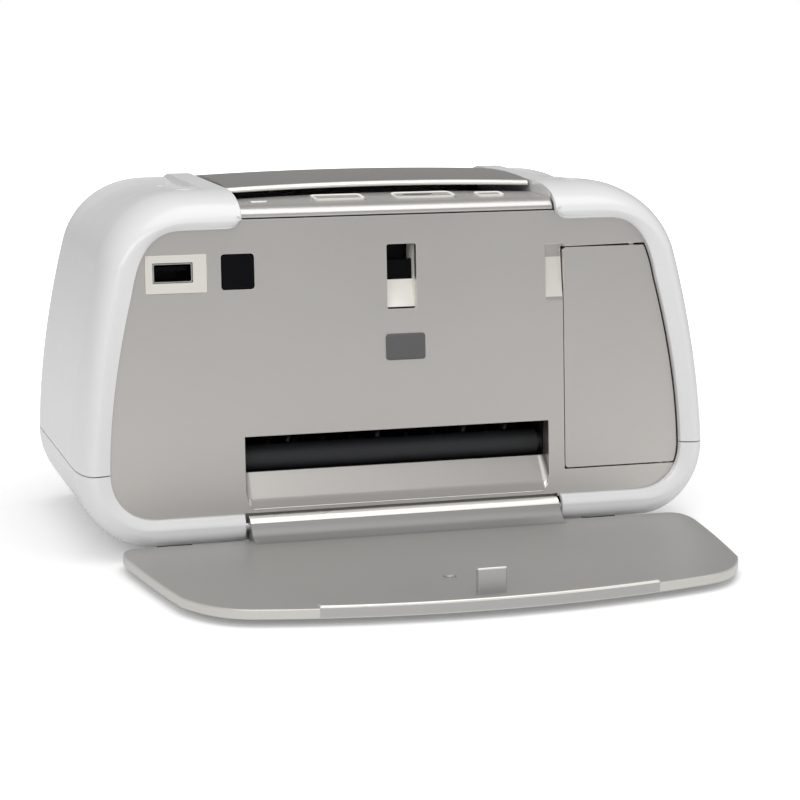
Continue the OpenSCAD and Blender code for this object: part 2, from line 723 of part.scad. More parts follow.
module paper_frame() color("dimgray") place() {
    difference() {
        union() {
            cheek_side(left_cheek - cheek);
            cheek_side(right_cheek);
            block(left_cheek - cheek, right_cheek + cheek, 12, 88, floor_z, floor_z + 1.5);
            bar(gear_x - 1, left_cheek, idler_y, idler_z, 2);
            bar(gear_x - 1, left_cheek, pick_idler_y, pick_idler_z, 2);
        }
        for (p = [[feed_y, feed_z, shaft_r], [exit_y, exit_z, shaft_r], [feed_y, pinch_z, pinch_shaft_r],
            [exit_y, star_z, star_shaft_r], [pick_y, pick_z, pick_shaft_r]])
            bar(-far / 2, far / 2, p[0], p[1], p[2] + fit);
        bar(left_cheek - 4, left_cheek + 1, motor_y, motor_z, 2.6);
    }
}

module platen() color("dimgray") place() {
    block(left_cheek, right_cheek, 24.8, 54.6, 29.5, 31.5);
    rib_step = (right_cheek - left_cheek - 12) / 10;
    for (i = [0 : 10]) translate([left_cheek + 5.5 + i * rib_step, 0, 0])
        block(-0.6, 0.6, 26, 53.4, 31.4, 33.4);
}

module waste_pad() color("gainsboro") place()
    block(left_cheek + 2, right_cheek - 2, 26, 52, floor_z + 1.5, floor_z + 7.5);

// ---- rollers and gears ----

module gear(y, z, teeth, bore) difference() {
    translate([gear_x, y, z]) rotate([90, 0, 90]) linear_extrude(gear_w) gear_2d(teeth);
    bar(gear_x - 1, gear_x + gear_w + 1, y, z, bore + fit);
}

// straight toothed rim that stops short of the pitch circle
module gear_2d(teeth) {
    r1 = pitch(teeth) - 0.2;
    r0 = r1 - 0.8;
    step = 360 / teeth;
    polygon([for (i = [0 : teeth - 1], k = [0 : 3])
        let (a = step * (i + [0, 0.3, 0.5, 0.8][k]), r = k < 2 ? r0 : r1)
        [r * cos(a), r * sin(a)]]);
}

module feed_roller() color("dimgray") place() {
    bar(left_cheek + 1, right_cheek - 1, feed_y, feed_z, feed_radius);
    bar(gear_x - 0.6, right_cheek + cheek + 1, feed_y, feed_z, shaft_r);
}

module feed_gear() color("ivory") place() gear(feed_y, feed_z, feed_teeth, shaft_r);
module idler_gear() color("ivory") place() gear(idler_y, idler_z, idler_teeth, 2);
module exit_gear() color("ivory") place() gear(exit_y, exit_z, exit_teeth, shaft_r);
module pick_gear() color("ivory") place() gear(pick_y, pick_z, pick_teeth, pick_shaft_r);
module pick_idler_gear() color("ivory") place() gear(pick_idler_y, pick_idler_z, pick_idler_teeth, 2);

module exit_roller() color("dimgray") place() {
    bar(slot_left + 0.5, slot_right - 0.5, exit_y, exit_z, exit_radius);
    bar(gear_x - 0.6, right_cheek + cheek + 1, exit_y, exit_z, shaft_r);
}

module pinch_rollers() color("dimgray") place() {
    bar(left_cheek - 1.5, right_cheek + 1.5, feed_y, pinch_z, pinch_shaft_r);
    for (x = [-44, -18, 8, 32]) bar(x, x + 10, feed_y, pinch_z, pinch_r);
}

module star_wheels() color("lightgray") place() {
    bar(left_cheek - 1.5, right_cheek + 1.5, exit_y, star_z, star_shaft_r);
    for (x = star_x) translate([x - 0.4, exit_y, star_z]) rotate([90, 0, 90]) linear_extrude(0.8)
        polygon([for (i = [0 : 23]) let (r = i % 2 == 0 ? star_r : star_r - 1.1)
            [r * cos(15 * i), r * sin(15 * i)]]);
}

module pick_roller() color("dimgray") place() {
    bar(gear_x - 0.6, right_cheek + cheek + 1, pick_y, pick_z, pick_shaft_r);
    bar(paper_mid - 18, paper_mid + 2, pick_y, pick_z, pick_radius);
}

module feed_motor() color("lightgray") place() difference() {
    union() {
        bar(left_cheek, left_cheek + 27, motor_y, motor_z, motor_r);
        bar(left_cheek - 1.2, left_cheek + 1, motor_y, motor_z, 2.5);
    }
    bar(left_cheek - 2, left_cheek + 4, motor_y, motor_z, 1 + fit);
}

module feed_pinion() color("ivory") place() {
    gear(motor_y, motor_z, motor_teeth, 0.5);
    bar(gear_x - 0.6, left_cheek + 3.6, motor_y, motor_z, 1);
}

// ---- carriage and its drive ----

module carriage() color("dimgray") place() translate([home_x, 0, 0]) {
    hw = carriage_width / 2;
    difference() {
        union() {
            block(-hw, hw, 22, 54, 44, 86);
            block(-hw, hw, 53, 61, 56, 68);
            block(-hw, hw, 61, plate_y - gap, 69, 74);
            block(-hw, hw, 53, 61.1, 67, 74);
            block(-14, -4, 53, 58.9, 73, 80.5);
            block(-14, -4, 53, 62.6, 73, belt_z - belt_out - gap);
            block(-14, -4, 53, 62.6, belt_z - belt_in + gap, 80.5);
            block(-12, -4, 53, 58.4, 80, 94);
        }
        block(-11.6, 11.6, 20, 48.6, 46, 88);
        block(-9, 9, 29, 45, 40, 47);
        bar(-hw - 1, hw + 1, rod_y, rod_z, rod_radius + fit);
        block(-13, -3, 56.4, 57.5, 85, 92);
    }
}

module ink_cartridge() color("black") place() translate([home_x, 0, 0]) {
    block(-11, 11, 24, 48.3, 46, 78);
    block(-11, 11, 27, 48.3, 77, 84);
    block(-7, 7, 30, 44, 37, 46.5);
}

module carriage_motor() color("lightgray") place() difference() {
    union() {
        bar_y(drive_x, plate_y + plate_thick, 90, belt_z, 10.6);
        bar_y(drive_x, plate_y - 0.2, plate_y + 2, belt_z, 3.9);
    }
    bar_y(drive_x, 60, 70, belt_z, motor_shaft_r + fit);
}

module pulley(x) {
    bar_y(x, 58.5, 63, belt_z, pulley_r);
    bar_y(x, 58.4, 58.9, belt_z, pulley_flange_r);
    bar_y(x, 62.7, 63.2, belt_z, pulley_flange_r);
}

module drive_pulley() color("ivory") place() {
    pulley(drive_x);
    bar_y(drive_x, 58, 69, belt_z, motor_shaft_r);
}

module idle_pulley() color("ivory") place() difference() {
    pulley(idle_x);
    bar_y(idle_x, 50, 66, belt_z, idle_pin_r + fit);
}

module belt_loop(r, y0, y1) {
    bar_y(drive_x, y0, y1, belt_z, r);
    bar_y(idle_x, y0, y1, belt_z, r);
    block(drive_x, idle_x, y0, y1, belt_z - r, belt_z + r);
}

module drive_belt() color("black") place() difference() {
    belt_loop(belt_out, belt_y, belt_y + belt_width);
    belt_loop(belt_in, belt_y - 1, belt_y + belt_width + 1);
}

module service_station() color("dimgray") place() translate([home_x, 0, 0]) difference() {
    union() {
        block(-14, 14, 20, 54, floor_z + 0.6, 26);
        block(-12, 8, 20, 54, floor_z, floor_z + 1);
    }
    block(-12, 12, 22, 52, floor_z + 2, 30);
}

module service_sled() color("gray") place() translate([home_x, 0, 0]) {
    block(-11.6, 11.6, 24, 44, floor_z + 2.3, 31);
    difference() {
        block(-9, 9, 28, 43, 30.9, 35.4);
        block(-7.5, 7.5, 29.5, 41.5, 33, 36);
    }
}

// ---- feet and fasteners ----

module rubber_feet() color("dimgray") place()
    pair() for (y = foot_ys) translate([foot_x, y, 0]) cylinder(h = foot_height, r = 6);

module case_screws() color("lightgray") place()
    pair() for (y = screw_ys) translate([screw_x, y, 0]) {
        translate([0, 0, 6.6]) cylinder(h = 2.4, r = 2.9);
        translate([0, 0, 8.9]) cylinder(h = 28, r = 1.5);
    }

// ---- draw ----

lower_case();
upper_case();
front_panel();
control_deck();
input_lid();
lid_hinge_pins();
input_extender();
rear_chute();
width_guide();
separator_pad();
output_tray();
tray_hinge_pins();
tray_catch();
ink_door();
door_hinge_pins();
print_button();
menu_button();
cancel_button();
status_light();
button_board();
usb_bezel();
usb_host_port();
infrared_window();
front_board();
blank_badge();
main_board();
usb_device_port();
power_inlet();
chassis_plate();
guide_rod();
paper_frame();
platen();
waste_pad();
feed_roller();
feed_gear();
idler_gear();
exit_roller();
exit_gear();
pinch_rollers();
star_wheels();
pick_roller();
pick_gear();
pick_idler_gear();
feed_motor();
feed_pinion();
carriage();
ink_cartridge();
carriage_motor();
drive_pulley();
idle_pulley();
drive_belt();
encoder_strip();
service_station();
service_sled();
rubber_feet();
case_screws();
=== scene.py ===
"""Looks of the compact photo printer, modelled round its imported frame."""
import json
import math
import bpy
from mathutils import Matrix, Vector

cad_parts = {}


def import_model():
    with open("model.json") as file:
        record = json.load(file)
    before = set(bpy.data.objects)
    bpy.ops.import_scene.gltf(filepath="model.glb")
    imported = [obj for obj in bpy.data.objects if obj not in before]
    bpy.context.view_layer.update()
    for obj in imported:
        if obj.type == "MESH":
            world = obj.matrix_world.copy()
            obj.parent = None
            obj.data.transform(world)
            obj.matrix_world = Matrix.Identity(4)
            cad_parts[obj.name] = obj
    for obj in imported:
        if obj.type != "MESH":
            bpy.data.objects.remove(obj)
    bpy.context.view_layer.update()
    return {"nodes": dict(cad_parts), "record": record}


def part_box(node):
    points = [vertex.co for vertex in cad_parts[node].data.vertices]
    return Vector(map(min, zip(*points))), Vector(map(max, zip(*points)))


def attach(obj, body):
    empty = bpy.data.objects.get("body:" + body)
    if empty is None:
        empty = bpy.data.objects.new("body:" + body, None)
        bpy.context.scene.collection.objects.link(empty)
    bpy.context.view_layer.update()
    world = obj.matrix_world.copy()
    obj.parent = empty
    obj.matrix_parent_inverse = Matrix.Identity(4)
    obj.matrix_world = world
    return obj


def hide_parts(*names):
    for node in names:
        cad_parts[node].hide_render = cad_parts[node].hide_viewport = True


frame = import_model()
bpy.ops.object.select_all(action="DESELECT")

# ---- sizes, in millimetres from the front foot of the casing ----

MM = 0.001
HALF_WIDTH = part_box("upper_case")[1].x / MM
TRAY_REACH = 95.5
BACK_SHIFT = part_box("output_tray")[0].y / MM + TRAY_REACH
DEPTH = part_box("upper_case")[1].y / MM - BACK_SHIFT
FLOOR_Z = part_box("lower_case")[0].z / MM
TOP_Z = 119.0
SLOPE = 0.066
SLOPE_ANGLE = math.atan(SLOPE)
SEAM_Z = 29.0
RECESS = 3.4
PANEL_THICK = 2.4
ARM_GAP = 54.4
LOWER_ARM_GAP = 55.5
SHELL = 1.8
CASE_EDGE = 0.25
DECK_Z = TOP_Z - 3.8
DECK_Y = 24.0
DECK_ANGLE = math.radians(4.5)
LATCH_X = 0.5

BODY = Matrix.Translation((0, BACK_SHIFT * MM, 0)) @ Matrix.Scale(MM, 4)
FRONT = BODY @ Matrix.Rotation(math.pi / 2 - SLOPE_ANGLE, 4, "X")


def on_deck(x, y):
    """Frame of one key: x right, y back along the deck, z out of it."""
    height = DECK_Z + (y - DECK_Y) * math.tan(DECK_ANGLE)
    return Matrix.Translation((x, y, height)) @ Matrix.Rotation(DECK_ANGLE, 4, "X")


# ---- modelling by hand ----

def deselect():
    bpy.ops.object.select_all(action="DESELECT")


def pick(piece):
    deselect()
    piece.select_set(True)
    bpy.context.view_layer.objects.active = piece


def edit(piece, *steps):
    """Runs edit mode steps on all of a piece; each is an operator with its settings."""
    pick(piece)
    bpy.ops.object.mode_set(mode="EDIT")
    bpy.ops.mesh.select_all(action="SELECT")
    for operator, settings in steps:
        operator(**settings)
    bpy.ops.object.mode_set(mode="OBJECT")


def outward(piece):
    edit(piece, (bpy.ops.mesh.normals_make_consistent, {"inside": False}))


def merged(piece, distance=0.001):
    edit(piece, (bpy.ops.mesh.remove_doubles, {"threshold": distance}))


def select_faces(piece, test):
    """Selects the faces whose centre and normal pass the test, and stays in edit mode."""
    pick(piece)
    bpy.ops.object.mode_set(mode="EDIT")
    bpy.ops.mesh.select_all(action="DESELECT")
    bpy.ops.mesh.select_mode(type="FACE")
    bpy.ops.object.mode_set(mode="OBJECT")
    for face in piece.data.polygons:
        face.select = test(face.center, face.normal)
    bpy.ops.object.mode_set(mode="EDIT")


def select_edges(piece, test):
    """Selects the edges whose two ends pass the test, and stays in edit mode."""
    pick(piece)
    bpy.ops.object.mode_set(mode="EDIT")
    bpy.ops.mesh.select_all(action="DESELECT")
    bpy.ops.mesh.select_mode(type="EDGE")
    bpy.ops.object.mode_set(mode="OBJECT")
    points = piece.data.vertices
    for edge in piece.data.edges:
        edge.select = all(test(points[i].co) for i in edge.vertices)
    bpy.ops.object.mode_set(mode="EDIT")


def plate(name, outline, low, high):
    """A flat piece: a ring of points laid on its outline, filled and extruded."""
    deselect()
    bpy.ops.mesh.primitive_circle_add(vertices=len(outline), fill_type="NGON")
    piece = bpy.context.object
    piece.name = name
    for point, (x, y) in zip(piece.data.vertices, outline):
        point.co = (x, y, low)
    edit(piece, (bpy.ops.mesh.extrude_region_move,
                 {"TRANSFORM_OT_translate": {"value": (0, 0, high - low)}}))
    outward(piece)
    return piece


def bar_of(name, profile, x0, x1, parts=1):
    """A profile given as (y, z), extruded along x in one or more equal parts."""
    step = (x1 - x0) / parts
    piece = plate(name, profile, x0, x0 + step)
    for _ in range(parts - 1):
        end = max(point.co.z for point in piece.data.vertices)
        select_faces(piece, lambda centre, normal: centre.z > end - 0.001)
        bpy.ops.mesh.extrude_region_move(TRANSFORM_OT_translate={"value": (0, 0, step)})
        bpy.ops.object.mode_set(mode="OBJECT")
    piece.data.transform(Matrix(((0, 0, 1, 0), (1, 0, 0, 0), (0, 1, 0, 0), (0, 0, 0, 1))))
    return piece


def surface(name, rows):
    """A grid whose rows of points follow a curved skin."""
    deselect()
    across = len(rows[0])
    bpy.ops.mesh.primitive_grid_add(x_subdivisions=across - 1, y_subdivisions=len(rows) - 1)
    piece = bpy.context.object
    piece.name = name
    for index, point in enumerate(piece.data.vertices):
        point.co = rows[index // across][index % across]
    return piece


def rounded_box(name, low, high, corner, steps=4):
    """A block with its four upright corners rounded in plan."""
    return plate(name, rounded_rect(low[0], high[0], low[1], high[1], corner, steps), low[2], high[2])


def rounded_rect(x0, x1, y0, y1, r, steps=4):
    points = []
    for cx, cy, start in ((x1 - r, y1 - r, 0), (x0 + r, y1 - r, 90), (x0 + r, y0 + r, 180),
                          (x1 - r, y0 + r, 270)):
        for i in range(steps + 1):
            a = math.radians(start + 90 * i / steps)
            points.append((cx + r * math.cos(a), cy + r * math.sin(a)))
    return points


def block(name, x0, x1, y0, y1, z0, z1):
    deselect()
    bpy.ops.mesh.primitive_cube_add(size=1)
    piece = bpy.context.object
    piece.name = name
    middle = Matrix.Translation(((x0 + x1) / 2, (y0 + y1) / 2, (z0 + z1) / 2))
    piece.data.transform(middle @ Matrix.Diagonal((x1 - x0, y1 - y0, z1 - z0, 1)))
    return piece


def rod(name, start, end, r, sides=40):
    """A round bar between two points."""
    start, end = Vector(start), Vector(end)
    deselect()
    bpy.ops.mesh.primitive_cylinder_add(vertices=sides, radius=r, depth=(end - start).length)
    piece = bpy.context.object
    piece.name = name
    turn = (end - start).to_track_quat("Z", "Y").to_matrix().to_4x4()
    piece.data.transform(Matrix.Translation((start + end) / 2) @ turn)
    return piece


def joined(piece, parts):
    """Adds finished parts to a piece, each with its own material."""
    deselect()
    for part in parts:
        part.select_set(True)
    piece.select_set(True)
    bpy.context.view_layer.objects.active = piece
    bpy.ops.object.join()
    return piece


def apply_modifier(piece, kind, **settings):
    pick(piece)
    modifier = piece.modifiers.new(kind.lower(), kind)
    for key, value in settings.items():
        setattr(modifier, key, value)
    bpy.ops.object.modifier_apply(modifier=modifier.name)


def combine(piece, other, operation="DIFFERENCE"):
    """Cuts the other shape out of the piece, or joins it on, and removes it."""
    apply_modifier(piece, "BOOLEAN", object=other, operation=operation, solver="EXACT")
    bpy.data.objects.remove(other)
    return piece


def soften(piece, width, steps=3, angle=38):
    """Rounds the sharp edges and shades the rest smooth."""
    merged(piece)
    apply_modifier(piece, "BEVEL", width=width, segments=steps, limit_method="ANGLE",
                   angle_limit=math.radians(angle), use_clamp_overlap=False)
    shaded(piece)
    return piece


def shaded(piece):
    """Smooth shading that keeps large flat faces flat right up to their rounded edges."""
    pick(piece)
    bpy.ops.object.shade_smooth_by_angle(angle=math.radians(32))
    apply_modifier(piece, "WEIGHTED_NORMAL", keep_sharp=True, weight=60)


def painted(piece, material, test):
    """Gives the faces whose centre and normal pass the test a material of their own."""
    piece.data.materials.append(material)
    index = len(piece.data.materials) - 1
    for face in piece.data.polygons:
        if test(face.center, face.normal):
            face.material_index = index


def fitted(piece, place, body, slot, material, *nodes):
    """Puts a finished piece in place, hangs it on the body it rides on and hides the pieces it stands for;
    the slot it is given is not used.
    """
    piece.data.transform(place)
    piece.data.update()
    if material:
        piece.data.materials.clear()
        piece.data.materials.append(material)
    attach(piece, body)
    if nodes:
        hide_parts(*nodes)
    return piece


def blend3(a, b, c, d, t):
    """A point on a curve with two handles."""
    s = 1 - t
    return tuple(s * s * s * p + 3 * s * s * t * q + 3 * s * t * t * r + t * t * t * w
                 for p, q, r, w in zip(a, b, c, d))


def blend2(a, b, c, t):
    return tuple((1 - t) ** 2 * p + 2 * t * (1 - t) * q + t * t * r for p, q, r in zip(a, b, c))


def ease(t):
    t = max(0.0, min(1.0, t))
    return t * t * (3 - 2 * t)


# ---- shared surface effects ----

def socket(group, name, way, kind, value=None):
    made = group.interface.new_socket(name=name, in_out=way, socket_type=kind)
    if value is not None:
        made.default_value = value


def link(tree, a, b):
    tree.links.new(a, b)


def preset(node, values):
    """Sets inputs of a node by their names."""
    for name, value in values.items():
        node.inputs[name].default_value = value


def effect_group(name, size_name, size, rough):
    """New group with the sockets that every finish shares, and its input and output nodes."""
    group = bpy.data.node_groups.new(name, "ShaderNodeTree")
    socket(group, "Vector", "INPUT", "NodeSocketVector")
    for label, value in ((size_name, size), ("Rough Low", rough[0]), ("Rough High", rough[1])):
        socket(group, label, "INPUT", "NodeSocketFloat", value)
    for label in ("Tone", "Roughness", "Height"):
        socket(group, label, "OUTPUT", "NodeSocketFloat")
    return group, group.nodes.new("NodeGroupInput"), group.nodes.new("NodeGroupOutput")


def noise(group, inside, scale, detail):
    """Noise laid out on the group's own vector."""
    texture = group.nodes.new("ShaderNodeTexNoise")
    preset(texture, {"Scale": scale, "Detail": detail})
    link(group, inside.outputs["Vector"], texture.inputs["Vector"])
    return texture


def rough_spread(group, inside, outside, factor):
    """Makes a noise the roughness, between the two that the group is given."""
    spread = group.nodes.new("ShaderNodeMapRange")
    preset(spread, {"From Min": 0.3, "From Max": 0.7})
    link(group, factor, spread.inputs["Value"])
    link(group, inside.outputs["Rough Low"], spread.inputs["To Min"])
    link(group, inside.outputs["Rough High"], spread.inputs["To Max"])
    link(group, spread.outputs["Result"], outside.inputs["Roughness"])


def moulded_grain():
    """Group: slow tone drift, roughness spread and a fine skin height for moulded plastic."""
    group, inside, outside = effect_group("moulded_grain", "Grain Size", 900.0, (0.25, 0.35))
    drift = noise(group, inside, 14.0, 3.0)
    smear = noise(group, inside, 55.0, 4.0)
    grain = noise(group, inside, 900.0, 2.0)
    link(group, inside.outputs["Grain Size"], grain.inputs["Scale"])
    rough_spread(group, inside, outside, smear.outputs["Fac"])
    link(group, drift.outputs["Fac"], outside.inputs["Tone"])
    link(group, grain.outputs["Fac"], outside.inputs["Height"])
    return group


def flake_paint():
    """Group: fine metal flake in paint, as a tone, a roughness and a height."""
    group, inside, outside = effect_group("flake_paint", "Flake Size", 2600.0, (0.32, 0.42))
    drift = noise(group, inside, 9.0, 2.0)
    cells = group.nodes.new("ShaderNodeTexVoronoi")
    both = group.nodes.new("ShaderNodeMix")
    preset(both, {"Factor": 0.35})
    link(group, inside.outputs["Vector"], cells.inputs["Vector"])
    link(group, inside.outputs["Flake Size"], cells.inputs["Scale"])
    link(group, drift.outputs["Fac"], both.inputs["A"])
    link(group, cells.outputs["Distance"], both.inputs["B"])
    rough_spread(group, inside, outside, drift.outputs["Fac"])
    link(group, both.outputs["Result"], outside.inputs["Tone"])
    link(group, cells.outputs["Distance"], outside.inputs["Height"])
    return group


GRAIN = moulded_grain()
FLAKE = flake_paint()


def coated(name, effect, dark, light, rough, size, bump, metallic=0.0, shine=0.5,
           stretch=(1, 1, 1)):
    """A material whose tone runs from dark to light over the shared effect."""
    material = bpy.data.materials.new(name)
    material.use_nodes = True
    tree = material.node_tree
    shader = tree.nodes["Principled BSDF"]
    preset(shader, {"Metallic": metallic, "Specular IOR Level": shine})
    place = tree.nodes.new("ShaderNodeTexCoord")
    turn = tree.nodes.new("ShaderNodeMapping")
    preset(turn, {"Scale": stretch})
    group = tree.nodes.new("ShaderNodeGroup")
    group.node_tree = effect
    group.inputs[1].default_value = size
    preset(group, {"Rough Low": rough[0], "Rough High": rough[1]})
    ramp = tree.nodes.new("ShaderNodeValToRGB")
    ramp.color_ramp.elements[0].position = 0.25
    ramp.color_ramp.elements[1].position = 0.75
    ramp.color_ramp.elements[0].color = (*dark, 1)
    ramp.color_ramp.elements[1].color = (*light, 1)
    raised = tree.nodes.new("ShaderNodeBump")
    preset(raised, {"Strength": bump, "Distance": 0.00005})
    link(tree, place.outputs["Object"], turn.inputs["Vector"])
    link(tree, turn.outputs["Vector"], group.inputs["Vector"])
    link(tree, group.outputs["Tone"], ramp.inputs["Fac"])
    link(tree, ramp.outputs["Color"], shader.inputs["Base Color"])
    link(tree, group.outputs["Roughness"], shader.inputs["Roughness"])
    link(tree, group.outputs["Height"], raised.inputs["Height"])
    link(tree, raised.outputs["Normal"], shader.inputs["Normal"])
    return material


def tones(colour, spread):
    return tuple(c * (1 - spread) for c in colour), tuple(min(1, c * (1 + spread)) for c in colour)


def plastic(name, colour, rough=(0.3, 0.4), spread=0.03, bump=0.25, size=900.0, shine=0.5):
    dark, light = tones(colour, spread)
    return coated(name, GRAIN, dark, light, rough, size, bump, shine=shine)


def paint(name, colour, rough=(0.34, 0.42), spread=0.05, bump=0.1, metallic=0.75):
    dark, light = tones(colour, spread)
    return coated(name, FLAKE, dark, light, rough, 2600.0, bump, metallic)


def brushed(name, colour, rough=(0.25, 0.4), stretch=(1, 12, 12)):
    dark, light = tones(colour, 0.12)
    return coated(name, GRAIN, dark, light, rough, 500.0, 0.35, metallic=1.0, stretch=stretch)


WHITE = plastic("white_shell", (0.76, 0.76, 0.765), rough=(0.22, 0.24), spread=0.008, bump=0.012)
PANEL = paint("champagne_paint", (0.66, 0.64, 0.61), rough=(0.3, 0.36), spread=0.02, metallic=0.93)
DECK = paint("deck_paint", (0.62, 0.605, 0.585), rough=(0.3, 0.38), spread=0.03, metallic=0.8)
# A darker copy of the paint for the lid's top: painted shade.
LID_TOP_SHADE = paint("lid_top_painted_shade", (0.42, 0.41, 0.395), rough=(0.3, 0.38), spread=0.03)
# Bright paint: the keys' own trim, and also a painted highlight on the panel's top edge, the finger hollow,
# the lid's front band and the tray's roll and lip.
TRIM_AND_HIGHLIGHT = paint("bright_trim_and_painted_highlight", (0.88, 0.86, 0.80), rough=(0.25, 0.33), spread=0.02, bump=0.04,
             metallic=0.45)
# Pale plastic laid as a painted highlight on the chamfer of the tab's pocket and on the key caps' rims.
PALE_HIGHLIGHT = plastic("pale_painted_highlight", (0.90, 0.885, 0.83), rough=(0.35, 0.45), spread=0.01, bump=0.05)
TRAY = paint("tray_paint", (0.46, 0.455, 0.445), rough=(0.4, 0.48), spread=0.03, metallic=0.65)
# A lighter copy of the tray's paint for its rim: painted highlight.
EDGE = paint("tray_rim_painted_highlight", (0.60, 0.585, 0.55), rough=(0.3, 0.38), spread=0.02, bump=0.05,
             metallic=0.4)
# A darker copy of the tray's paint for the ramp's slope: painted shade.
SLOPE_SHADE = paint("tray_slope_painted_shade", (0.30, 0.297, 0.29), rough=(0.42, 0.5), spread=0.03, metallic=0.55)
IVORY = plastic("ivory_plate", (0.70, 0.675, 0.62), rough=(0.4, 0.5), spread=0.02)
BLACK = plastic("black_gloss", (0.004, 0.004, 0.005), rough=(0.12, 0.2), spread=0.1, bump=0.02,
                shine=0.1)
DARK = plastic("dark_texture", (0.02, 0.02, 0.022), rough=(0.45, 0.6), spread=0.12, bump=0.6,
               size=700, shine=0.3)
GREY = plastic("grey_texture", (0.16, 0.16, 0.165), rough=(0.42, 0.55), spread=0.08, bump=0.5)
RUBBER = plastic("roller_rubber", (0.02, 0.021, 0.024), rough=(0.5, 0.7), spread=0.2, bump=0.7, size=1400)
GEAR = plastic("gear_resin", (0.62, 0.60, 0.53), rough=(0.35, 0.5), spread=0.04, bump=0.3)
BOARD = plastic("circuit_board", (0.02, 0.11, 0.05), rough=(0.3, 0.5), spread=0.25, bump=0.8, size=260)
STEEL = brushed("turned_steel", (0.58, 0.58, 0.59))
SHEET = brushed("zinc_sheet", (0.50, 0.51, 0.52), rough=(0.3, 0.5), stretch=(8, 1, 8))
BRASS = brushed("contact_brass", (0.72, 0.52, 0.22))
BADGE = paint("badge_enamel", (0.15, 0.15, 0.15), rough=(0.3, 0.4), spread=0.04, metallic=0.6)
FELT = plastic("felt_pad", (0.60, 0.60, 0.58), rough=(0.85, 0.95), spread=0.12, bump=1.0, size=1800)
LENS = plastic("lamp_lens", (0.84, 0.84, 0.9), rough=(0.1, 0.2), spread=0.02, bump=0.05)

# ---- casing skin ----

# outer outline and opening outline of the right half, seen from the front, as handles
OUTER_CORNER = ((HALF_WIDTH - 24, FLOOR_Z), (HALF_WIDTH, SEAM_Z))
OUTER_SIDE = ((HALF_WIDTH, SEAM_Z), (HALF_WIDTH - 1, 62), (HALF_WIDTH - 10, 96.5))
OUTER_TOP = ((HALF_WIDTH - 10, 96.5), (HALF_WIDTH - 12.8, 107), (HALF_WIDTH - 22, TOP_Z),
             (HALF_WIDTH - 40, TOP_Z))
EDGE_CORNER = ((84, 13.3), (93.4, 13.3), (99.6, 19.5), (99.6, SEAM_Z))
EDGE_SIDE = ((99.6, SEAM_Z), (99.3, 55), (91, 87))
ARM_LOW, ARM_STRAIGHT, ARM_SPREAD = 107.5, 74, 66
EDGE_TOP = ((91, 87), (88.9, 98.2), (85.2, ARM_LOW), (ARM_STRAIGHT, ARM_LOW))
ARM_CORNER = 4.6
INNER_STRIP = 62.2
# columns along an upper arm, closer together towards its rounded end
ARM_COLUMNS = (70, 67, INNER_STRIP + 0.5, INNER_STRIP - 0.1, 61.5, 59.2, 57.6, 56.4, 55.5, 54.85, ARM_GAP)


def arm_end_rise(x):
    """How far the rounded lower corner of an upper arm rises at its end."""
    reach = ARM_CORNER - (x - ARM_GAP)
    if reach <= 0:
        return 0.0
    return ARM_CORNER - math.sqrt(max(0.0, ARM_CORNER ** 2 - reach ** 2))


def lower_columns():
    """(outer point, opening point, outward direction) from the lower arm's end to the seam."""
    columns = []
    for i in range(6):
        t = i / 6
        x = LOWER_ARM_GAP + (OUTER_CORNER[0][0] - LOWER_ARM_GAP) * t
        edge_x = LOWER_ARM_GAP + (EDGE_CORNER[0][0] - LOWER_ARM_GAP) * t
        columns.append(((x, FLOOR_Z), (edge_x, 13.3), (0, -1)))
    for i in range(17):
        a = math.pi / 2 * i / 16
        x = OUTER_CORNER[0][0] + 24 * math.sin(a)
        z = SEAM_Z - (SEAM_Z - FLOOR_Z) * math.cos(a)
        columns.append(((x, z), blend3(*EDGE_CORNER, i / 16), (math.sin(a), -math.cos(a))))
    return columns


def upper_columns():
    """The same from the seam round the shoulder to the upper arm's end."""
    columns = []
    for i in range(14):
        t = i / 14
        point = blend2(*OUTER_SIDE, t)
        ahead = blend2(*OUTER_SIDE, t + 0.01)
        columns.append((point, blend2(*EDGE_SIDE, t), turned(point, ahead)))
    for i in range(18):
        t = i / 18
        point = blend3(*OUTER_TOP, t)
        ahead = blend3(*OUTER_TOP, t + 0.01)
        columns.append((point, blend3(*EDGE_TOP, t), turned(point, ahead)))
    for x in ARM_COLUMNS:
        edge_x = min(2 * x - ARM_SPREAD, ARM_STRAIGHT) if x > ARM_SPREAD else x
        columns.append(((x, TOP_Z), (edge_x, ARM_LOW + arm_end_rise(x)), (0, 1)))
    return columns


def turned(point, ahead):
    """Outward direction, square to the way from one outline point to the next."""
    dx, dz = ahead[0] - point[0], ahead[1] - point[1]
    length = math.hypot(dx, dz)
    return dz / length, -dx / length


def rounding(direction, side, top, bottom):
    """A size that blends from the side's to the top's or the bottom's value."""
    up, down = max(0, direction[1]) ** 2, max(0, -direction[1]) ** 2
    return side * direction[0] ** 2 + top * up + bottom * down


DISH_DROP = 2.6


def dish(x, y):
    """Drop of the shoulder's top behind its rim, sharp along the inner strip."""
    across = ease((x - INNER_STRIP + 0.1) / 0.6) * (1 - ease((x - 88) / 20))
    return DISH_DROP * across * ease((y - 27) / 50) * (1 - ease((y - 86) / 18))


# rows of the skin from the opening back: step, lip, rounded ridge, straight walls, rounded back
BAND = (0.0, 0.0, 0.3, 0.9)
BAND_DEPTH = (3.3, 1.9, 1.35, 1.1)
LIP_SHARES = (0.35, 0.6, 0.82)
FRONT_STEPS = 9
MIDDLE = (0.08, 0.18, 0.3, 0.42, 0.55, 0.68, 0.8, 0.9)
BACK_STEPS = 10
BELLY_ROW = len(BAND) + len(LIP_SHARES) + FRONT_STEPS
BACK_BAR_ROW = BELLY_ROW + 1 + len(MIDDLE) + 4
# roundings at the side, at the top and at the bottom
RIDGE_IN, RIDGE_DEEP = (5.0, 8.4, 6.5), (16.0, 21.0, 8.0)
BACK_IN, BACK_DEEP = (16.0, 22.0, 9.0), (20.0, 22.0, 9.0)


